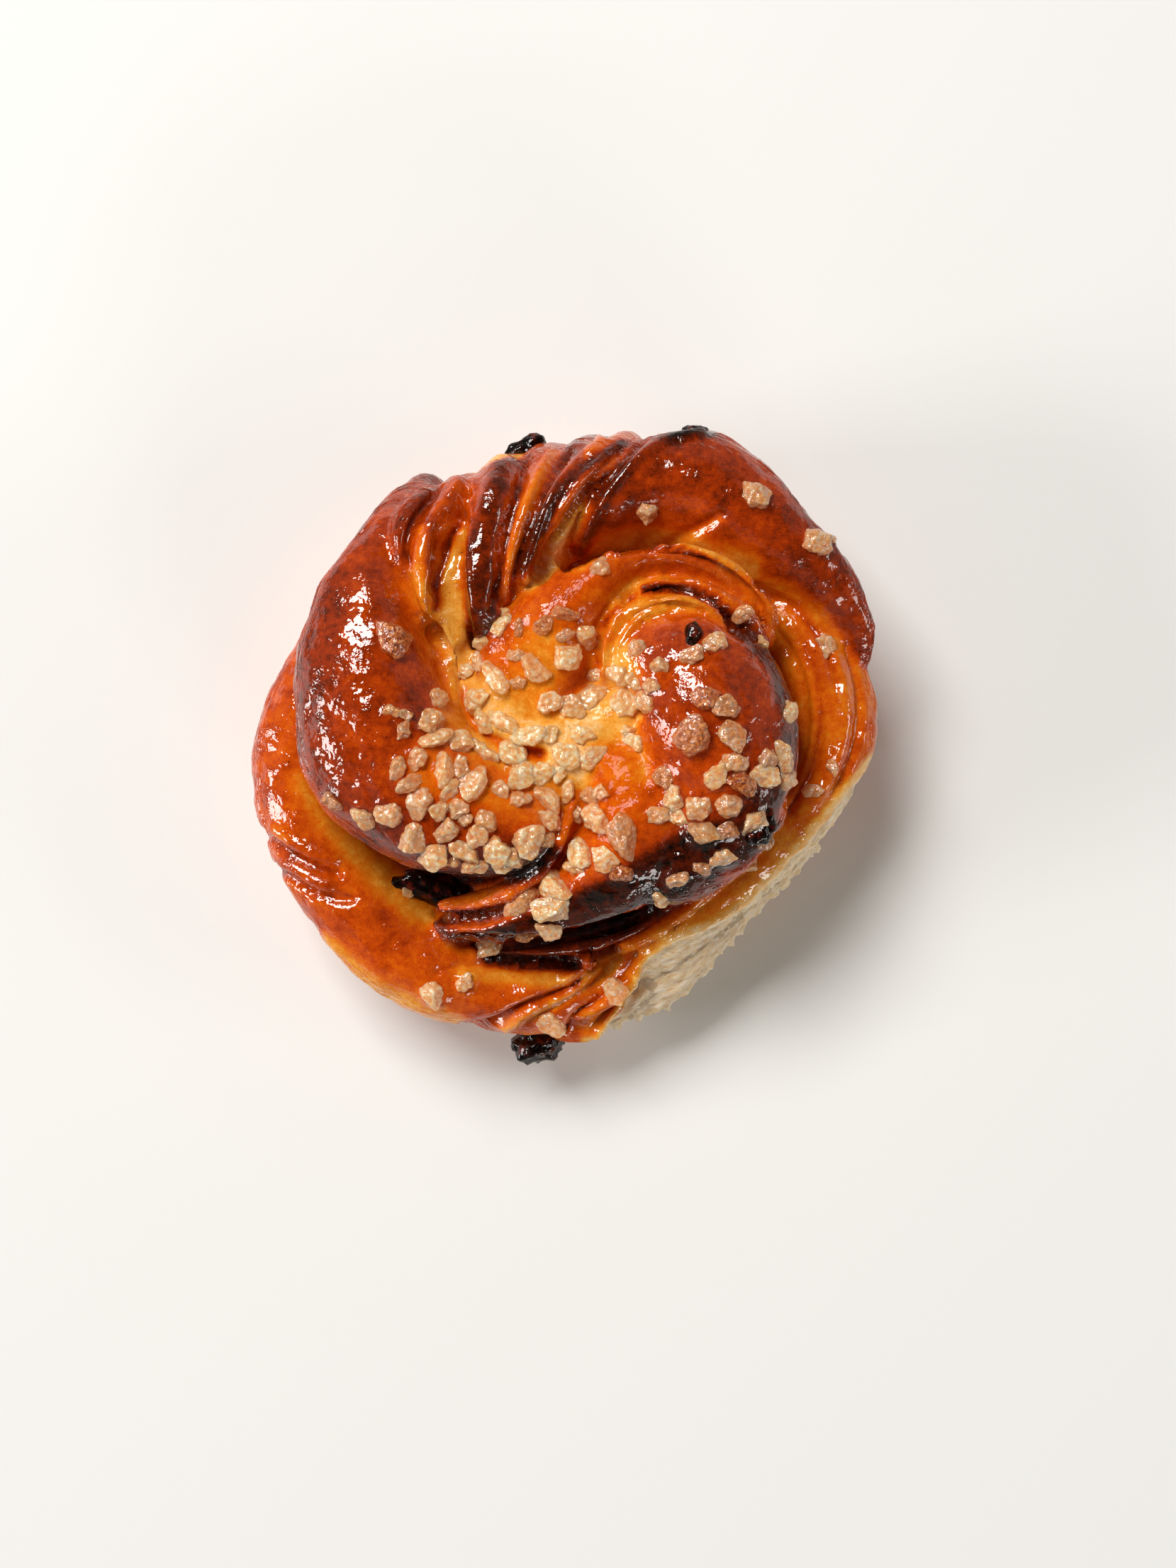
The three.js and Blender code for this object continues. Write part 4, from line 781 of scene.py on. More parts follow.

# %% [markdown]
# Then come strokes of two kinds. Most are colour that a baker would point at: pale valleys where the dough
# stretched late, the orange fringe of a lobe, burnt edges. The rest are painted shade, set dark in the
# creases, gaps and hollows and on faces turned from the windows, and one pleat face is painted lighter as
# painted light.
# Each names what it is and says how dark it is, how wide, and how strongly it covers what was there.

# %% Strokes of browning, painted shade and painted light: what it is, how dark, half width, strength, places
BROWN_AND_SHADE_STROKES = [
    ("pale saddle", 0.22, 9, 0.9, [(-14, 5), (-7, 1), (0, -2), (5, 1)]),
    ("arm where it leaves the saddle", 0.38, 7, 0.8, [(-5, 8), (-3, 15)]),
    ("pale side of the crown", 0.3, 4.5, 0.85, [(9, 13), (9, 6), (9, 0), (11, -4)]),
    ("sugared end of the left lobe", 0.45, 8, 0.75, [(-20, -4), (-12, -6), (-4, -9)]),
    # painted shade: the lobe's underside darkened where it turns under
    ("painted shade on the underside of the left lobe", 0.84, 3, 0.8, [(-31, -14), (-23, -17), (-13, -18.6), (-4, -15.6)]),
    ("right slope of the left lobe", 0.5, 3, 0.7,
     [(-25.5, 27), (-23, 20), (-20.5, 14), (-18.4, 8), (-16, 3)]),
    ("crease beside the left lobe", 0.38, 2.2, 0.9,
     [(-23.5, 27), (-21.5, 21), (-18.5, 15), (-16.5, 9), (-14, 3)]),
    # painted shade at the bottom of a crease
    ("painted shade at the bottom of that crease", 0.7, 0.9, 0.7,
     [(-18.4, 13), (-16.4, 9), (-15.6, 5.5), (-13, 2), (-10, 0), (-7, -1)]),
    # painted shade in a pit of the saddle
    ("painted shade in the hole in the saddle", 0.72, 1.7, 0.9, [(-6, -1.3), (-4, -1.8)]),
    ("wedge before the first pleat", 0.74, 2, 0.8, [(-21, 41), (-23.4, 37), (-24.4, 33)]),
    # painted light: the pleat's face toward the windows made lighter
    ("painted light on the lit face of a pleat", 0.4, 1.3, 0.8, [(-22.6, 34), (-23, 29.5), (-22.3, 25), (-20.8, 20)]),
    ("valley between the pleats", 0.3, 2.8, 0.95,
     [(-16, 10), (-17.4, 15), (-18.2, 22), (-18.2, 28), (-17.2, 34)]),
    ("broad dark pleat", 0.85, 3.2, 0.85, [(-9.6, 46), (-11.3, 38.5), (-12.6, 31.5), (-13, 25), (-13, 19)]),
    ("orange pleat", 0.46, 1.8, 0.85, [(-2, 47), (-5, 40.5), (-7.6, 33.5), (-9.3, 27), (-10.2, 22)]),
    ("orange face of the tail", 0.56, 6, 0.8, [(8, -3), (8, -10), (5, -15), (1, -19)]),
    # dark partly from burnt caramel, partly painted shade on a face turned from the windows
    ("burnt cliff under the tail with painted shade", 0.97, 4.2, 1,
     [(30, -10), (25, -14), (20, -16), (15, -19), (11, -21.8), (6, -24.6), (0, -27.2), (-6, -29.6),
      (-11, -31)]),
    ("filling that ran out below", 0.8, 3, 0.9,
     [(-12, -33.4), (-5, -34), (3, -33.8), (10, -32), (17, -27.6), (24, -22)]),
    ("crest of the bottom ridge", 0.35, 2.0, 0.85, [(-17, -37.6), (-11, -38.4), (-5, -38.8), (0, -39.4)]),
    ("amber ribbons at the bottom", 0.36, 2.2, 0.85,
     [(-10, -47), (-4.4, -43.9), (1, -41), (5.4, -37.8), (10, -34)]),
    # painted shade in a crease between ribbons
    ("painted shade in the crease between those ribbons", 0.86, 0.7, 0.8,
     [(-13, -46.6), (-6.6, -43.4), (-0.8, -41), (2.2, -39.3)]),
    # painted shade in a crease between ribbons
    ("painted shade in the next crease at the bottom", 0.86, 0.6, 0.8,
     [(-0.4, -48.4), (2.1, -45), (5.4, -42.2), (9.2, -38.2), (11.5, -35)]),
    ("tongue beside the hollow", 0.36, 1.1, 0.9, [(0.3, -39.4), (2, -37.8), (3.7, -35.6)]),
    # painted shade in the crease under the cliff
    ("painted shade in the crease below the cliff", 0.97, 3.4, 1,
     [(-1, -30), (6, -29), (12, -26.5), (18, -22.8), (23, -19.4), (28, -16.6), (32, -13)]),
    # painted shade in the crease and the hollow below the tail
    ("painted shade in the crease below the tail", 1.0, 2.4, 1, [(-15, -31.6), (-6, -31.8), (2, -31.2), (9, -30), (15, -27)]),
    ("painted shade in the hollow below the tail", 1.0, 1.7, 1, [(-12.5, -35.6), (-7, -36.2), (-2, -36.4), (2, -36.6)]),
    ("edge of the tail", 0.52, 1.4, 0.9,
     [(2, -8), (0.8, -13), (-1.6, -17.6), (-5.6, -21.4), (-11, -24), (-16.5, -25.7), (-21, -26.1)]),
    # painted shade in the gap beside the tail
    ("painted shade in the gap beside the tail", 0.98, 1, 0.9, [(-20, -27.6), (-14, -27.2), (-9, -26.3)]),
    ("glossy dark end of the tail", 0.9, 1.5, 0.9,
     [(-21, -27.6), (-20, -30), (-16, -31.8), (-9.6, -31.4), (-4.2, -29.9), (0, -28.3)]),
    # painted shade inside the tail's rolled end
    ("painted shade inside the tail's end", 0.88, 1.2, 0.8, [(-19, -28.6), (-14, -28.4), (-9, -27)]),
    ("thin ribbon of the tail", 0.5, 0.8, 0.9, [(-16, -30.2), (-13.3, -29.6), (-8.5, -28)]),
    # painted shade in the hollow under the left lobe
    ("painted shade in the hollow under the left lobe", 1.0, 2.4, 0.95, [(-23, -21.5), (-14, -21.8), (-6, -20.4), (-2, -17.4)]),
    ("amber crease of the ring", 0.38, 3.4, 0.85,
     [(-43, -6), (-38.5, -12.5), (-33, -19.5), (-28, -24.5), (-23, -28)]),
    ("pale rim of the ring", 0.3, 3.2, 0.8, [(-40, -33), (-33, -39), (-26, -43), (-18, -46.5)]),
    # painted shade in the creases between the ribbons at the right
    ("painted shade in the lines between the ribbons at the right", 0.72, 0.7, 0.8,
     [(31, 25.5), (35.5, 23.6), (39.5, 20.3), (42.8, 15.5), (44.4, 10)]),
    ("painted shade in the second such line", 0.7, 0.6, 0.8,
     [(36.6, 20), (40, 14.5), (41.6, 8), (41.8, 2), (40, -5), (36.6, -11)]),
    ("amber skin at the lower right", 0.4, 3.4, 0.85, [(12, -34), (21, -29), (30, -23), (36, -16)]),
    ("golden fringe of the top lobe", 0.35, 3.2, 0.9,
     [(2, 29), (6, 31.4), (12, 33), (18, 32.6), (24, 30.6), (30, 28.4)]),
    ("fold of the top lobe", 0.42, 1, 0.8, [(25, 36), (21.5, 34), (18, 32.2)]),
    ("pale ribbon at the right", 0.46, 1.8, 0.8, [(33, 26), (38, 24.5), (42, 21), (44.5, 17), (46.2, 13)]),
    ("amber valley at the right", 0.5, 3, 0.85,
     [(30, 23), (35.5, 19), (38.5, 12), (39, 5), (37.5, -3), (34, -10)]),
    ("pale valley of the pleats", 0.2, 2.2, 0.9, [(3.4, 37), (0.4, 33.4), (-2.6, 29.2), (-5.4, 25.6)]),
    ("outer band of the swirl", 0.6, 2.6, 0.8,
     [(0, 22), (6, 26.4), (12, 28.2), (19, 27.8), (25, 25.2), (29, 21), (31.6, 16)]),
    ("burnt left edge of the top lobe", 0.9, 2.4, 0.75,
     [(19, 49.5), (13.5, 47.5), (9.4, 43.5), (6.4, 39.5), (4.2, 35), (2.4, 31.5)]),
    # painted shade with browning on the crown's flank turned from the windows
    ("painted shade on the glossy flank of the crown", 0.9, 3, 0.85, [(29, 17.5), (33.6, 12), (35.6, 5), (35.4, -3), (32, -11)]),
    # painted shade in the gap between the swirl's leaves
    ("painted shade in the gap in the swirl", 0.97, 1.2, 0.95,
     [(13, 24.4), (16.5, 24.6), (20, 24.2), (23, 22.8), (25.6, 20.8), (27.6, 18.6)]),
    ("darkest side of the left lobe", 0.8, 6.5, 0.75,
     [(-37.5, 21), (-40, 11), (-39.5, 1), (-35.5, -8), (-28, -14)]),
    ("dark crown of the top lobe", 0.77, 5, 0.7, [(14, 46), (22, 44.5), (30, 39), (37, 32.5), (41.5, 27)]),
    # painted shade with browning on the crown's side turned from the windows
    ("painted shade on the right side of the crown", 0.8, 5, 0.7, [(27, 11), (30, 4), (30, -4), (27, -11)]),
    ("pale curled edge beside the tear", 0.15, 0.8, 0.85,
     [(3, -50), (5.6, -49), (8.4, -45), (11.2, -40.8), (13, -36.4), (17, -33), (22, -30.6), (28, -27)]),
    # painted shade along the rim of the overhang
    ("painted shade on the rim of the cliff", 0.93, 2.2, 0.9,
     [(33, -9), (30, -12.5), (25.6, -16.4), (20, -20), (14.5, -23.2), (8, -26), (0, -28.6)]),
    # painted shade in the creases beside the pleats
    ("painted shade in the crease beside the broad pleat", 0.92, 0.8, 0.85,
     [(-6, 47), (-7.4, 40), (-9, 34), (-10, 28), (-11.2, 21)]),
    ("painted shade in the crease beside the orange pleat", 0.9, 0.8, 0.85, [(1, 48), (-2.4, 41.5), (-5.4, 34), (-7.4, 28)]),
    # painted shade in the gap below the top lobe and beside the swirl's leaf
    ("painted shade in the gap below the top lobe", 0.95, 0.7, 0.85,
     [(1, 28.4), (5, 29.8), (10, 30.8), (15, 31.2), (19, 30.8), (24, 28.6)]),
    ("painted shade in the thin gap beside the swirl's leaf", 0.9, 0.6, 0.8,
     [(5.2, 11.5), (5.4, 16), (6.6, 19.4), (9.2, 22), (12, 23.8)]),
    ("burnt lip of the top lobe", 0.97, 1.8, 0.9, [(17.5, 49.5), (20.5, 50.5), (23.5, 50.4)]),
    # painted shade in the two folds at the lower left
    ("painted shade in the fold at the lower left", 0.8, 0.9, 0.8,
     [(-50, -15), (-47.5, -16.5), (-44, -18.5), (-41, -20), (-38, -21)]),
    ("painted shade in the next fold at the lower left", 0.8, 0.9, 0.8, [(-47.5, -21), (-45, -22), (-42, -24), (-38.5, -25.3)]),
    ("dark crest of a pleat", 0.92, 1.6, 0.85, [(9.5, 48.5), (3, 44), (-1.6, 38), (-4.4, 33), (-7, 27)]),
    ("pale layer at the far rim", 0.16, 1.2, 0.8, [(-14.5, 45.4), (-11, 46.6), (-7.6, 47.6)]),
    ("pale outer edge at the right", 0.18, 1.5, 0.85,
     [(50.6, -2.4), (46.6, -7), (42.4, -12), (38.4, -17), (33.6, -22.4), (29, -26.4), (24.4, -29.4),
      (17, -32.6)]),
    # painted shade: the same pleat's edge turned from the windows made darker
    ("painted shade on the shaded edge of a pleat", 0.9, 1, 0.8, [(-17, 35), (-19, 31), (-20.3, 26), (-20.3, 22)]),
]

# each stroke sets browning, painted shade or painted light
for _, value, half_width, strength, places in BROWN_AND_SHADE_STROKES:
    cover = stroke(places, half_width, skin) * seen * strength
    brown_and_shade += (value - brown_and_shade) * cover
print(len(BROWN_AND_SHADE_STROKES), "strokes; mean browning", round(brown_and_shade.mean(), 2))

# %% [markdown]
# Strokes can't reach skin that faces the side or hangs over. On the real bun the steep flanks of the crown,
# of the tail and of the left lobe look nearly as dark as the creases below them, so painted shade darkens
# them here, under the overhangs and low on the flanks; they are found by their strand and their height.

# %% The dark flanks: painted shade under overhangs and low on the flanks
OVERHANG_SHADE = {"brown_and_shade": 0.84, "strength": 0.9, "lobe_above": 15, "top_below": 33}  # the last two in mm

# painted shade: skin hidden under the left lobe, and low on the tail and the crown
overhang_shade = (1 - seen) * between(skin[:, 2] - OVERHANG_SHADE["lobe_above"], 0, 5) * belongs_to("left_lobe")
overhang_shade += between(OVERHANG_SHADE["top_below"] - skin[:, 2], 0, 4) * belongs_to("tail", "crown")
overhang_shade = averaged(np.clip(overhang_shade, 0, 1), edges, 3)[:, 0]
brown_and_shade += (OVERHANG_SHADE["brown_and_shade"] - brown_and_shade) * overhang_shade * OVERHANG_SHADE["strength"]
brown_and_shade = np.clip(averaged(brown_and_shade, edges, 1)[:, 0], 0, 1)
print("dark flanks on", round((overhang_shade > 0.5).mean() * 100, 1), "% of the skin")

# %% [markdown]
# In the saddle and on the tail's face much of the sugar melted. It left the syrup there thick and cloudy,
# so those places shine less than the lobes. A painter would dab them with a soft brush, and here soft ovals
# on the upper skin do the same.

# %% Where sugar melted into the syrup: x, y, half length, half width, turn in degrees
MELTED = [
    (-4, 1, 15, 11, 10), (7, -9, 8, 11, -10), (9, -3, 9, 9, 0), (-3, 13, 9, 9, 0), (-17, -9, 9, 8, 0),
    (6, 25, 12, 4, 10),
]
MELTED_ABOVE = 26  # mm

melted = np.zeros(len(skin))
for oval in MELTED:
    melted = np.maximum(melted, patch_share(skin, *oval) * (skin[:, 2] > MELTED_ABOVE))
melted = averaged(melted, edges, 4)[:, 0]
print("cloudy syrup on", round((melted > 0.5).mean() * 100, 1), "% of the skin")

# %% [markdown]
# The numbers go into the mesh as attributes, which the material reads by name. An attribute needs no
# image and no unwrapping, and it stays with the point when the view changes. The skin is then cut flat
# where it lay on the tray, and moved so that it stands where the CAD solid does.

# %% The finished dough mesh
SHIFT = (0.44, 0.74)  # from the middle of the routes to the middle of the solid


def keep(mesh, name, values):
    mesh.attributes.new(name, "FLOAT", "POINT").data.foreach_set("value", np.asarray(values, np.float32))


def cut_flat(mesh):
    """Cut off what lies below the table, and close the cut."""
    shape = bmesh.new()
    shape.from_mesh(mesh)
    whole = shape.verts[:] + shape.edges[:] + shape.faces[:]
    table = {"plane_co": (0, 0, 0), "plane_no": (0, 0, 1)}
    cut = bmesh.ops.bisect_plane(shape, geom=whole, clear_inner=True, **table)
    rim = [part for part in cut["geom_cut"] if isinstance(part, bmesh.types.BMEdge)]
    bmesh.ops.holes_fill(shape, edges=rim)
    shape.to_mesh(mesh)
    shape.free()


# the browning attribute also carries the painted shade of creases, hollows and overhangs
for name, values in {"brown_and_shade": brown_and_shade, "torn": torn, "side": steep, "melted": melted}.items():
    keep(dough.data, name, values)
flow_kept = dough.data.attributes.new("flow", "FLOAT_VECTOR", "POINT")
flow_kept.data.foreach_set("vector", flow.astype(np.float32).ravel())
placed = skin + [*SHIFT, 0]
dough.data.vertices.foreach_set("co", (placed * MM).ravel())
cut_flat(dough.data)
for face in dough.data.polygons:
    face.use_smooth = True
dough.data.update()
print("dough faces:", len(dough.data.polygons))

# %% [markdown]
# A finish is a graph of nodes, and every finish needs the same few steps: add a node, fill its sockets, join
# it to the next one. The nodes could be placed by hand in the shader editor. In a script, a class that holds
# one graph and knows those steps keeps each finish short enough to read.

# %% Helpers for the finishes
def srgb(*colour):
    """A red, green and blue of 0 to 255, as a paint chart gives them, in the linear form that shaders use."""
    shares = [value / 255 for value in colour]
    return (*[share / 12.92 if share <= 0.04045 else ((share + 0.055) / 1.055) ** 2.4 for share in shares], 1)


class Graph:
    """The nodes of a material or of the world, with short ways to add them and to join them."""

    def __init__(self, owner):
        owner.use_nodes = True
        self.owner = owner
        self.nodes = owner.node_tree.nodes

    def put(self, value, socket):
        """Set a socket to a value, or join another node's output to it."""
        if isinstance(value, bpy.types.NodeSocket):
            self.owner.node_tree.links.new(value, socket)
        else:
            socket.default_value = value

    def fill(self, node, **values):
        """Put values on a node's named sockets. A space in a name is written as an underscore."""
        for name, value in values.items():
            self.put(value, node.inputs[name.replace("_", " ")])

    def finish(self, **values):
        """Fill the sockets of the material's own shader."""
        self.fill(self.nodes["Principled BSDF"], **values)

    def add(self, kind, **values):
        made = self.nodes.new(kind)
        self.fill(made, **values)
        return made

    def attribute(self, name, output="Fac"):
        """What the mesh keeps at its points under this name."""
        made = self.add("ShaderNodeAttribute")
        made.attribute_name = name
        return made.outputs[output]

    def noise(self, scale, detail, roughness, along=None):
        """Soft noise of 0 to 1, in space or along other coordinates. In space, a scale of 1000 is 1 mm."""
        place = self.add("ShaderNodeNewGeometry").outputs["Position"] if along is None else along
        made = self.add("ShaderNodeTexNoise", Vector=place, Scale=scale, Detail=detail, Roughness=roughness)
        return made.outputs["Fac"]

    def maths(self, operation, *values, clamp=False):
        made = self.nodes.new("ShaderNodeMath")
        made.operation = operation
        made.use_clamp = clamp
        for value, socket in zip(values, made.inputs):
            self.put(value, socket)
        return made.outputs[0]

    def ramp(self, level, stops):
        """The colour at a level. A stop is its level and its red, green and blue."""
        made = self.nodes.new("ShaderNodeValToRGB")
        points = made.color_ramp.elements
        while len(points) < len(stops):
            points.new(0.5)
        for point, (place, *colour) in zip(points, stops):
            point.position = place
            point.color = srgb(*colour)
        self.put(level, made.inputs["Fac"])
        return made.outputs["Color"]

    def mix(self, share, first, second):
        made = self.nodes.new("ShaderNodeMix")
        made.data_type = "RGBA"
        self.fill(made, Factor=share, A=first, B=second)
        return made.outputs["Result"]

    def bump(self, height, strength, distance):
        """A normal bent by the slope of a height, where a height of 1 stands for the distance in metres."""
        made = self.add("ShaderNodeBump", Height=height, Strength=strength, Distance=distance)
        return made.outputs["Normal"]


print("a mid grey in linear form:", round(srgb(128, 128, 128)[0], 3))

# %% [markdown]
# The crust is one material. A ramp turns browning into colour, from pale crumb through amber and orange to
# red-brown and nearly black, and its dark end also colours the painted shade of the creases and overhangs.
# Fine noise breaks it up, because egg wash never lies evenly, and small dark specks of cinnamon show. Syrup
# is a clear coat over the colour. Its weight falls where sugar melted, and the dough under it gets no shine
# of its own, since two shines would veil the dark crust with grey.

# %% The glazed crust
# the dark end of this ramp also colours painted shade
BROWN_AND_SHADE_COLOURS = [  # how brown, then red, green and blue
    (0, 244, 222, 184), (0.15, 246, 208, 146), (0.28, 240, 168, 66), (0.4, 220, 126, 26), (0.5, 214, 98, 10),
    (0.6, 194, 72, 6), (0.72, 154, 47, 4), (0.85, 88, 24, 4), (1, 16, 5, 3),
]
SPECKS = {"from": 0.71, "darker": 0.16}

crust = Graph(bpy.data.materials.new("glazed crust"))
wash = crust.noise(900, 5, 0.6)
blotch = crust.noise(240, 3, 0.55)
pores = crust.noise(3200, 2, 0.6)
uneven = crust.maths("MULTIPLY_ADD", wash, 0.3, -0.15)
for texture, swing in ((blotch, 0.24), (pores, 0.16)):
    uneven = crust.maths("ADD", uneven, crust.maths("MULTIPLY_ADD", texture, swing, -swing / 2))
# browning together with painted shade, read from the mesh
level = crust.maths("ADD", crust.attribute("brown_and_shade"), uneven)
specks = crust.maths("GREATER_THAN", crust.noise(2300, 2, 0.5), SPECKS["from"])
level = crust.maths("MULTIPLY_ADD", specks, SPECKS["darker"], level, clamp=True)
colours = crust.ramp(level, BROWN_AND_SHADE_COLOURS)
crust.finish(
    Base_Color=colours,
    Roughness=crust.maths("MULTIPLY_ADD", blotch, 0.25, 0.25),
    Specular_IOR_Level=0.0,
    Coat_Weight=crust.maths("MULTIPLY_ADD", crust.attribute("melted"), -0.88, 1.0, clamp=True),
    Coat_Roughness=0.03,
    Coat_IOR=1.6,
)
print("crust nodes so far:", len(crust.nodes))

# %% [markdown]
# Syrup doesn't dry flat. It ripples, it crinkles in patches, and on the flanks it follows the wrinkles of the
# skin, and that is what breaks each highlight into small pieces. Real relief that fine would need millions
# of faces, so a bump bends only the light on the coat. Its height is the sum of three noises, in metres.

# %% The broken surface of the syrup
SYRUP = {"ripple": 0.00024, "crinkle": 0.0001, "wrinkle": 0.0011}

along_strand = crust.attribute("flow", "Vector")
ripple = crust.maths("MULTIPLY", crust.noise(620, 1.6, 0.45), SYRUP["ripple"])
patchy = crust.maths("MULTIPLY_ADD", blotch, 5.0, -2.2, clamp=True)
crinkle = crust.maths("MULTIPLY", crust.noise(2100, 1.5, 0.5), patchy)
crinkle = crust.maths("MULTIPLY", crinkle, SYRUP["crinkle"])
wrinkle = crust.maths("MULTIPLY", crust.noise(1.3, 2.5, 0.5, along_strand), crust.attribute("side"))
wrinkle = crust.maths("MULTIPLY", wrinkle, SYRUP["wrinkle"])
heights = crust.maths("ADD", ripple, crust.maths("ADD", crinkle, wrinkle))
crust.finish(Normal=crust.bump(pores, 0.6, 0.0001), Coat_Normal=crust.bump(heights, 1.0, 1.0))
print("heights of the syrup in mm:", {name: value / MM for name, value in SYRUP.items()})

# %% [markdown]
# Torn crumb is dry, pale and full of threads and small holes, and a little light goes through it. It needs a
# shader of its own, with no coat and some subsurface scattering. Threads are noise drawn out along the
# strand. The mask of the tear mixes this shader with the crust's, so the border follows the ragged edge.

# %% The finish of the torn crumb
CRUMB_COLOURS = [(0.3, 222, 182, 122), (0.44, 246, 222, 176), (0.58, 254, 244, 220)]
STAIN = 0.16  # share of the crust's colour that the crumb takes on

crumb = crust.add("ShaderNodeBsdfPrincipled")
fibres = crust.maths("MULTIPLY", crust.noise(4.5, 4, 0.6, along_strand), 0.65)
holes = crust.maths("MULTIPLY", crust.noise(750, 6, 0.65), 0.35)
threads = crust.maths("ADD", fibres, holes)
crust.fill(
    crumb,
    Base_Color=crust.mix(STAIN, crust.ramp(threads, CRUMB_COLOURS), colours),
    Roughness=0.85,
    Subsurface_Weight=0.25,
    Subsurface_Radius=(1.0, 0.7, 0.4),
    Subsurface_Scale=0.002,
    Normal=crust.bump(threads, 0.8, 0.0008),
)
bared = crust.maths("MULTIPLY_ADD", crust.attribute("torn"), 2.0, -0.5, clamp=True)
either = crust.add("ShaderNodeMixShader", Fac=bared)
crust.put(crust.nodes["Principled BSDF"].outputs["BSDF"], either.inputs[1])
crust.put(crumb.outputs["BSDF"], either.inputs[2])
crust.put(either.outputs["Shader"], crust.nodes["Material Output"].inputs["Surface"])
dough.data.materials.append(crust.owner)
print("crust nodes:", len(crust.nodes))

# %% [markdown]
# The dough piece stands for the CAD solid, so it replaces that node and rides on the part's one body.

# %% Dough on its body
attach(dough, "root")
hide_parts("bun")
print("the dough rides on root")

# %% [markdown]
# A grain starts as a fine ball. Planes at random angles cut facets into it, a soft minimum rounds the edges
# between them, and cell noise gives the crystals it is pressed from. A cube with bevelled corners would be
# simpler, but every grain would show the same angles. The random numbers are seeded, so every run gives the
# same sugar.

# %% One grain of sugar
GRAIN = {"detail": 4, "planes": 9, "nearest": 0.5, "farthest": 0.9, "swell": 1.24}  # reach in radii
SOFTNESS = 30  # a lower number rounds the edges between facets more
GRAZING = 0.08  # a plane that faces a point less than this doesn't cut there
UNCUT = 9  # a reach well outside the ball
CRYSTALS = {"width": 1.15, "relief": 0.5, "middle": 0.4}  # mm, mm, and the cell noise's mean
SWELLINGS = {"width": 1.6, "height": 0.2}  # mm


def ball(detail):
    shape = bmesh.new()
    bmesh.ops.create_icosphere(shape, subdivisions=detail, radius=1)
    points = np.array([corner.co[:] for corner in shape.verts])
    faces = np.array([[corner.index for corner in face.verts] for face in shape.faces])
    shape.free()
    return points, faces


def crystal(draws, points, size):
    """A lump of a given length, width and thickness in mm, and how near each point is to a seam."""
    ways = unit(draws.normal(size=(GRAIN["planes"], 3)))
    facing = points @ ways.T
    planes = draws.uniform(GRAIN["nearest"], GRAIN["farthest"], GRAIN["planes"])
    reach = np.where(facing > GRAZING, planes / np.maximum(facing, GRAZING), UNCUT)
    reach = np.column_stack([reach, np.ones(len(points))])
    radius = -np.log(np.exp(-SOFTNESS * reach).sum(1)) / SOFTNESS
    seed = draws.uniform(0, 50)
    shape = points * radius[:, None]
    low, high = shape.min(0), shape.max(0)
    shape = (shape - (high + low) / 2) / (high - low) * np.array(size) * GRAIN["swell"]
    cells = np.array([noise.voronoi(place)[0][0] for place in (shape / CRYSTALS["width"] + seed).tolist()])
    relief = SWELLINGS["height"] * noise_at(shape, SWELLINGS["width"], seed)
    relief -= CRYSTALS["relief"] * (cells - CRYSTALS["middle"])
    return shape + unit(shape) * relief[:, None], cells


ball_points, ball_faces = ball(GRAIN["detail"])
print("corners in a grain:", len(ball_points))

# %% [markdown]
# A grain lies where it fell: flat side on the slope of the dough, and sunk in by about a third, because the
# dough was soft and rose round it. Rigid body physics could drop the grains, but they would roll into the
# creases. Here a ray from above finds the skin under each grain, and four more find its slope.

# %% Laying lumps on the dough
LYING = {"flatness": 0.68, "sunk": 0.36, "tilt": 0.8}  # shares of the width, the thickness and the slope
OVERHEAD, RIM_HEIGHT = 90, 25  # mm: above the whole bun, and about halfway up its rim
dough_shape = BVHTree.FromPolygons(skin.tolist(), polygons)


def resting_place(x, y, spread):
    """Where a lump lies: the place on the skin under it, and the skin's mean slope round there."""
    places = [(x, y), (x + spread, y), (x - spread, y), (x, y + spread), (x, y - spread)]
    hits = [dough_shape.ray_cast(Vector((*place, OVERHEAD)), Vector((0, 0, -1))) for place in places]
    slope = sum((hit[1] for hit in hits if hit[0]), Vector())
    if hits[0][0]:
        return hits[0][0], slope.normalized()
    print("over the rim:", x, y)
    return dough_shape.find_nearest(Vector((x, y, RIM_HEIGHT)))[:2]


def laid(lump, x, y, z, turn, slope, tilt):
    """Points of a lump turned, tilted with the slope and moved to its place."""
    up = Vector((0, 0, 1)).lerp(slope, tilt).normalized()
    upright = Vector((0, 0, 1)).rotation_difference(up).to_matrix()
    turned = upright @ Matrix.Rotation(math.radians(turn), 3, "Z")
    return lump @ np.array(turned).T + [x, y, z]


skin_tree = tree_of(skin)
draws = np.random.default_rng(21)
grains = []
kept = {"tint": [], "depth": [], "under": [], "seam": []}
for x, y, length, width, turn, browned in SUGAR:
    thickness = LYING["flatness"] * (length + width) / 2
    lump, cells = crystal(draws, ball_points, (length, width, thickness))
    place, slope = resting_place(x, y, width / 3)
    raised = Vector(place) + slope * thickness * (0.5 - LYING["sunk"])
    grains.append(laid(lump, *raised, turn, slope, LYING["tilt"]))
    kept["tint"] += [browned] * len(lump)
    kept["depth"] += (0.5 - lump[:, 2] / thickness).tolist()
    # the crust's browning and painted shade under the grain, for its painted glow
    kept["under"] += [brown_and_shade[skin_tree.find(place)[1]]] * len(lump)
    kept["seam"] += cells.tolist()
print("grains laid:", len(grains))

# %% [markdown]
# All the grains become one mesh, since one object is far lighter to handle than many. Its faces are shaded
# flat, so that the small facets of the crystals stay crisp and catch the light one by one.

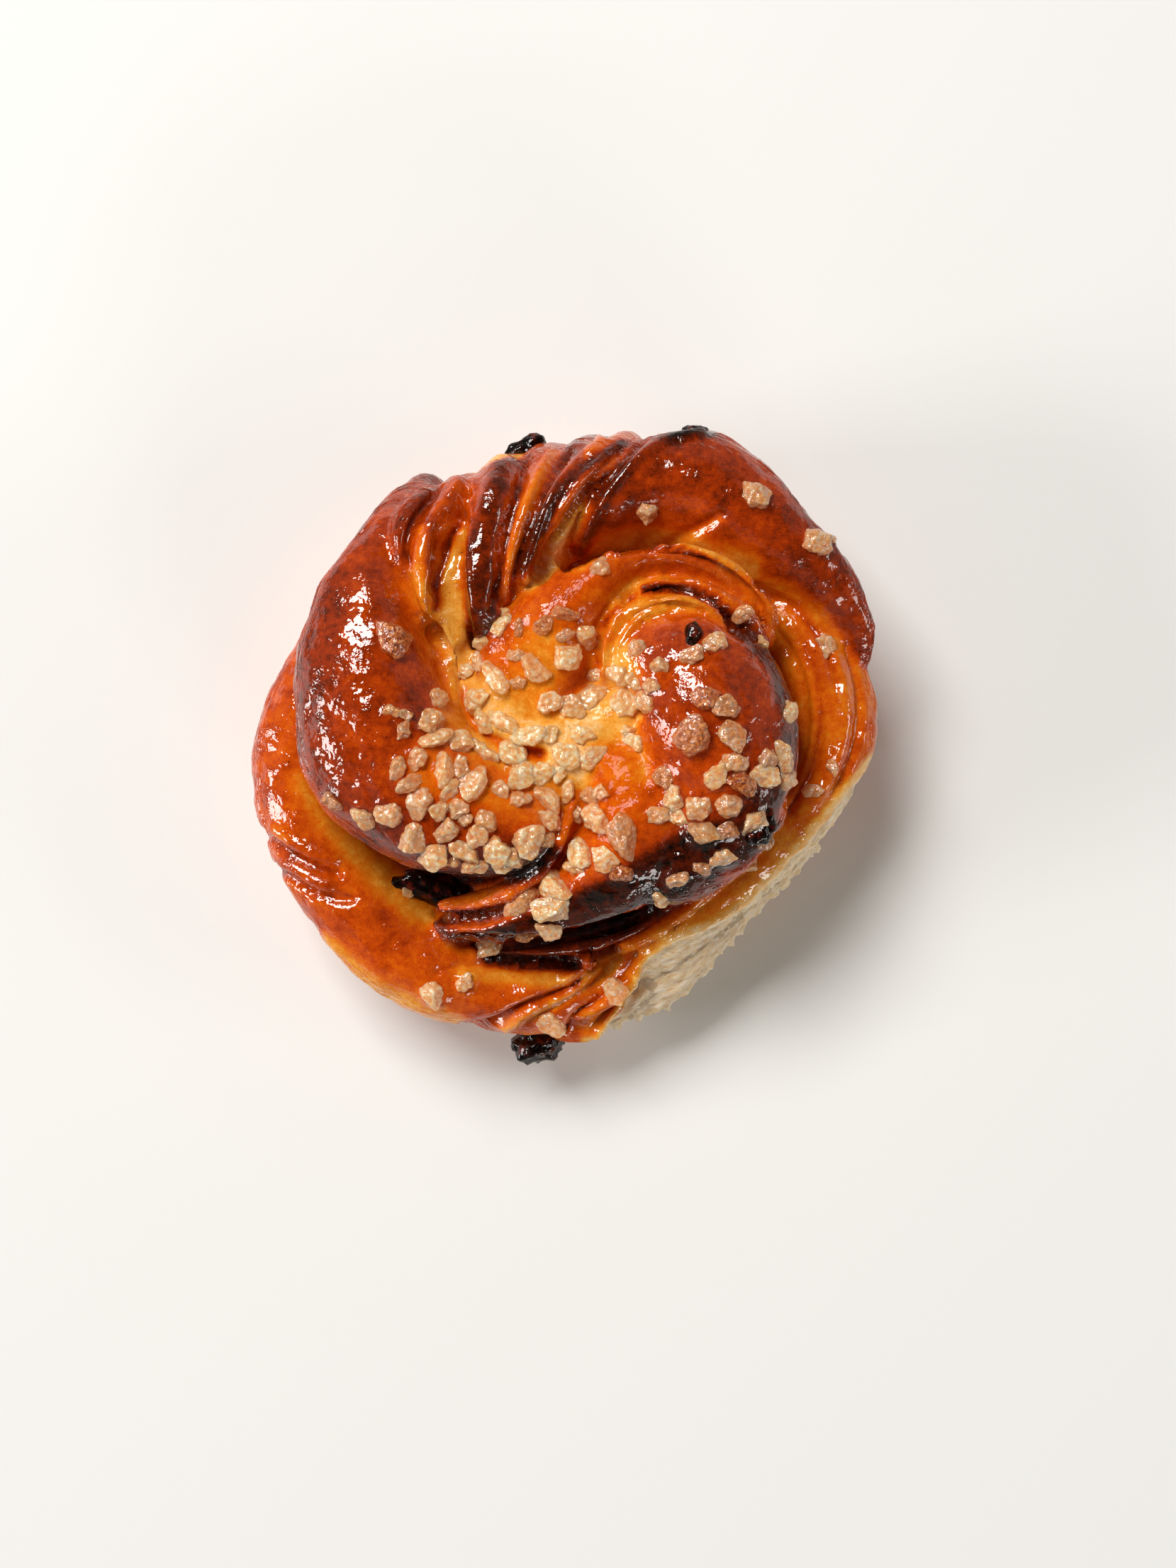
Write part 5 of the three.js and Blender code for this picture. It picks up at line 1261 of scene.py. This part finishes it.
# %% All the sugar as one piece
def lump_mesh(name, lumps, faces, smooth=True, **attributes):
    """One object of many lumps that share the same faces, in mm."""
    every_face = np.vstack([faces + number * len(lumps[0]) for number in range(len(lumps))])
    made = mesh_object(name, (np.vstack(lumps) + [*SHIFT, 0]) * MM, every_face.tolist())
    for face in made.data.polygons:
        face.use_smooth = smooth
    for attribute, values in attributes.items():
        keep(made.data, attribute, values)
    return made


sugar = lump_mesh("pearl_sugar", grains, ball_faces, smooth=False, **kept)
print("sugar faces:", len(sugar.data.polygons))

# %% [markdown]
# Sugar lets light in and scatters it, so a grain glows with the colour of the crust under it. Glass would be
# truer to a single crystal, but a pressed grain is cloudy. So the surface is part see-through and part
# scattering. Its colour is painted glow as well: it goes from nearly white on top to the tint of the crust at
# the bottom and in the seams, which paints in the crust's light coming through. Grains that browned are
# caramel with darker specks. Syrup on the crystals gives the small glints.

# %% The sugar's finish
CLEAR = [(0.34, 248, 168, 96), (0.5, 255, 206, 142), (0.64, 255, 240, 204)]
CARAMEL = [(0.35, 112, 44, 12), (0.5, 178, 90, 34), (0.66, 224, 150, 84)]
# painted glow: the crust's colour as light coming through a grain shows it
PAINTED_GLOW = [(0.25, 255, 200, 118), (0.5, 252, 138, 66), (0.75, 206, 98, 46), (1, 126, 80, 42)]

pearl = Graph(bpy.data.materials.new("pearl sugar"))
crystals = pearl.noise(1300, 3, 0.55)
clear = pearl.ramp(crystals, CLEAR)
caramel = pearl.ramp(pearl.noise(1900, 2, 0.5), CARAMEL)
painted_glow = pearl.ramp(pearl.attribute("under"), PAINTED_GLOW)
how_brown = pearl.maths("MULTIPLY_ADD", pearl.attribute("tint"), 1.35, -0.06, clamp=True)
# the lower part and the seams take the painted glow
inside = pearl.maths("MULTIPLY_ADD", pearl.attribute("depth"), 0.7, -0.06)
inside = pearl.maths("MULTIPLY_ADD", pearl.attribute("seam"), 0.22, inside, clamp=True)
pearl.finish(
    Base_Color=pearl.mix(inside, pearl.mix(how_brown, clear, caramel), painted_glow),
    Roughness=0.3,
    IOR=1.45,
    Coat_Weight=1.0,
    Coat_Roughness=0.03,
    Coat_IOR=1.6,
    Subsurface_Weight=0.6,
    Subsurface_Radius=(1.0, 0.85, 0.65),
    Subsurface_Scale=0.0016,
    Alpha=0.76,
    Normal=pearl.bump(crystals, 0.7, 0.0002),
    Coat_Normal=pearl.bump(pearl.noise(1500, 1, 0.5), 1.0, 0.00018),
)
sugar.data.materials.append(pearl.owner)
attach(sugar, "root")
print("sugar nodes:", len(pearl.nodes))

# %% [markdown]
# In a few places the filling boiled out between the coils, ran into beads and burnt to a black, glassy
# caramel. They are lumps like the grains, but softer, so they start from the same ball, and only noise
# shapes them. Their finish is a nearly black colour under a cracked coat.

# %% Beads of burnt filling: x, y, z or None to lie on the dough, length, width, thickness, turn
BEADS = [
    (-4.5, -50.8, 13, 9, 6.4, 6, 8), (-23, -23.4, None, 11, 5.6, 4.4, -10), (-6, 49.4, 24, 7, 4, 3.4, 20),
    (20.2, 16.6, None, 4.2, 2.6, 2.4, 80), (-18.5, -24.6, None, 5, 3.4, 3, -15),
    (21.5, 51, 30, 4.6, 2.6, 2.6, -10), (31, -13.5, None, 6, 4, 2.6, 50),
]
ABOVE_SKIN = 0.2  # mm from the skin to the middle of a bead that lies on it
BEAD_LUMPS = [(2.4, 0.36, 5.0), (0.9, 0.07, 3.0)]  # width in mm, height in radii, step of the seed

beads = []
for number, (x, y, z, length, width, thickness, turn) in enumerate(BEADS):
    shape = ball_points * np.array([length, width, thickness]) / 2
    swelling = sum(high * noise_at(shape, wide, number * step) for wide, high, step in BEAD_LUMPS)
    height = resting_place(x, y, 1)[0].z + ABOVE_SKIN if z is None else z
    beads.append(laid(shape * (1 + swelling)[:, None], x, y, height, turn, Vector((0, 0, 1)), 0))
burnt = lump_mesh("burnt_beads", beads, ball_faces)
print("beads:", len(beads))

# %% The beads' finish
CHARRED = [(0.35, 6, 3, 3), (0.55, 26, 7, 5), (0.7, 92, 26, 12)]

char = Graph(bpy.data.materials.new("burnt filling"))
crackle = char.noise(700, 2, 0.5)
cracked = char.bump(crackle, 0.8, 0.0004)
char.finish(
    Base_Color=char.ramp(crackle, CHARRED),
    Roughness=0.4,
    Specular_IOR_Level=0.0,
    Coat_Weight=0.8,
    Coat_Roughness=0.05,
    Normal=cracked,
    Coat_Normal=cracked,
)
burnt.data.materials.append(char.owner)
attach(burnt, "root")
print("bead nodes:", len(char.nodes))

# %% [markdown]
# The bun lies on a plain warm-white floor. Two soft lights stand for windows: one is high beyond the far left
# of the bun, and one is low at its left. Two weaker ones, low at the right and at the near side, stand for
# pale walls that throw light back. Their places come from where the highlights fall on the real glaze.

# %% Floor and lights
LIGHTS = [  # name, towards, width, height (in metres), watts
    ("window", (-0.34, 0.48, 0.81), 1.1, 0.85, 54),
    ("side window", (-0.93, -0.15, 0.42), 0.8, 0.7, 24),
    ("right wall", (0.9, -0.12, 0.42), 0.9, 0.5, 8),
    ("near wall", (0.4, -0.85, 0.4), 0.9, 0.5, 10),
]
LIGHT_DISTANCE = 2.4  # metres
DAYLIGHT = (1.0, 0.985, 0.96)
FLOOR_HALF = 3  # metres

corners = [(-1, -1, 0), (1, -1, 0), (1, 1, 0), (-1, 1, 0)]
floor = mesh_object("floor", np.array(corners) * FLOOR_HALF, [[0, 1, 2, 3]])
paint = Graph(bpy.data.materials.new("pale floor"))
paint.finish(Base_Color=srgb(234, 234, 232), Roughness=0.6)
floor.data.materials.append(paint.owner)

for name, towards, width, height, watts in LIGHTS:
    light = bpy.data.objects.new(name, bpy.data.lights.new(name, "AREA"))
    bpy.context.scene.collection.objects.link(light)
    light.data.shape = "RECTANGLE"
    light.data.size = width
    light.data.size_y = height
    light.data.energy = watts
    light.data.color = DAYLIGHT
    light.location = Vector(towards).normalized() * LIGHT_DISTANCE
    light.rotation_euler = light.location.to_track_quat("Z", "Y").to_euler()
print(len(LIGHTS), "lights")

# %% [markdown]
# The room is bright near the horizon and dark overhead, where the one who took the picture stood: so the
# glaze shows deep colour where it faces up, and pale reflections only where it turns to the side. A picture
# of a real room could surround the bun, but a ramp over the height is enough and needs no file.

# %% The room
ROOM = {"horizon": 0.24, "overhead": 0.03}  # strength of its light

room = Graph(bpy.data.worlds.new("room"))
bpy.context.scene.world = room.owner
direction = room.add("ShaderNodeTexCoord")
upwards = room.add("ShaderNodeSeparateXYZ", Vector=direction.outputs["Generated"])
shade = room.nodes.new("ShaderNodeMapRange")
shade.interpolation_type = "SMOOTHSTEP"
room.fill(shade, Value=upwards.outputs["Z"], From_Min=0.5, From_Max=0.8)
room.fill(shade, To_Min=ROOM["horizon"], To_Max=ROOM["overhead"])
room.fill(room.nodes["Background"], Color=srgb(250, 240, 224), Strength=shade.outputs["Result"])
bpy.context.scene.view_settings.view_transform = "Standard"
print("the room's light is", ROOM["horizon"], "at the horizon and", ROOM["overhead"], "overhead")
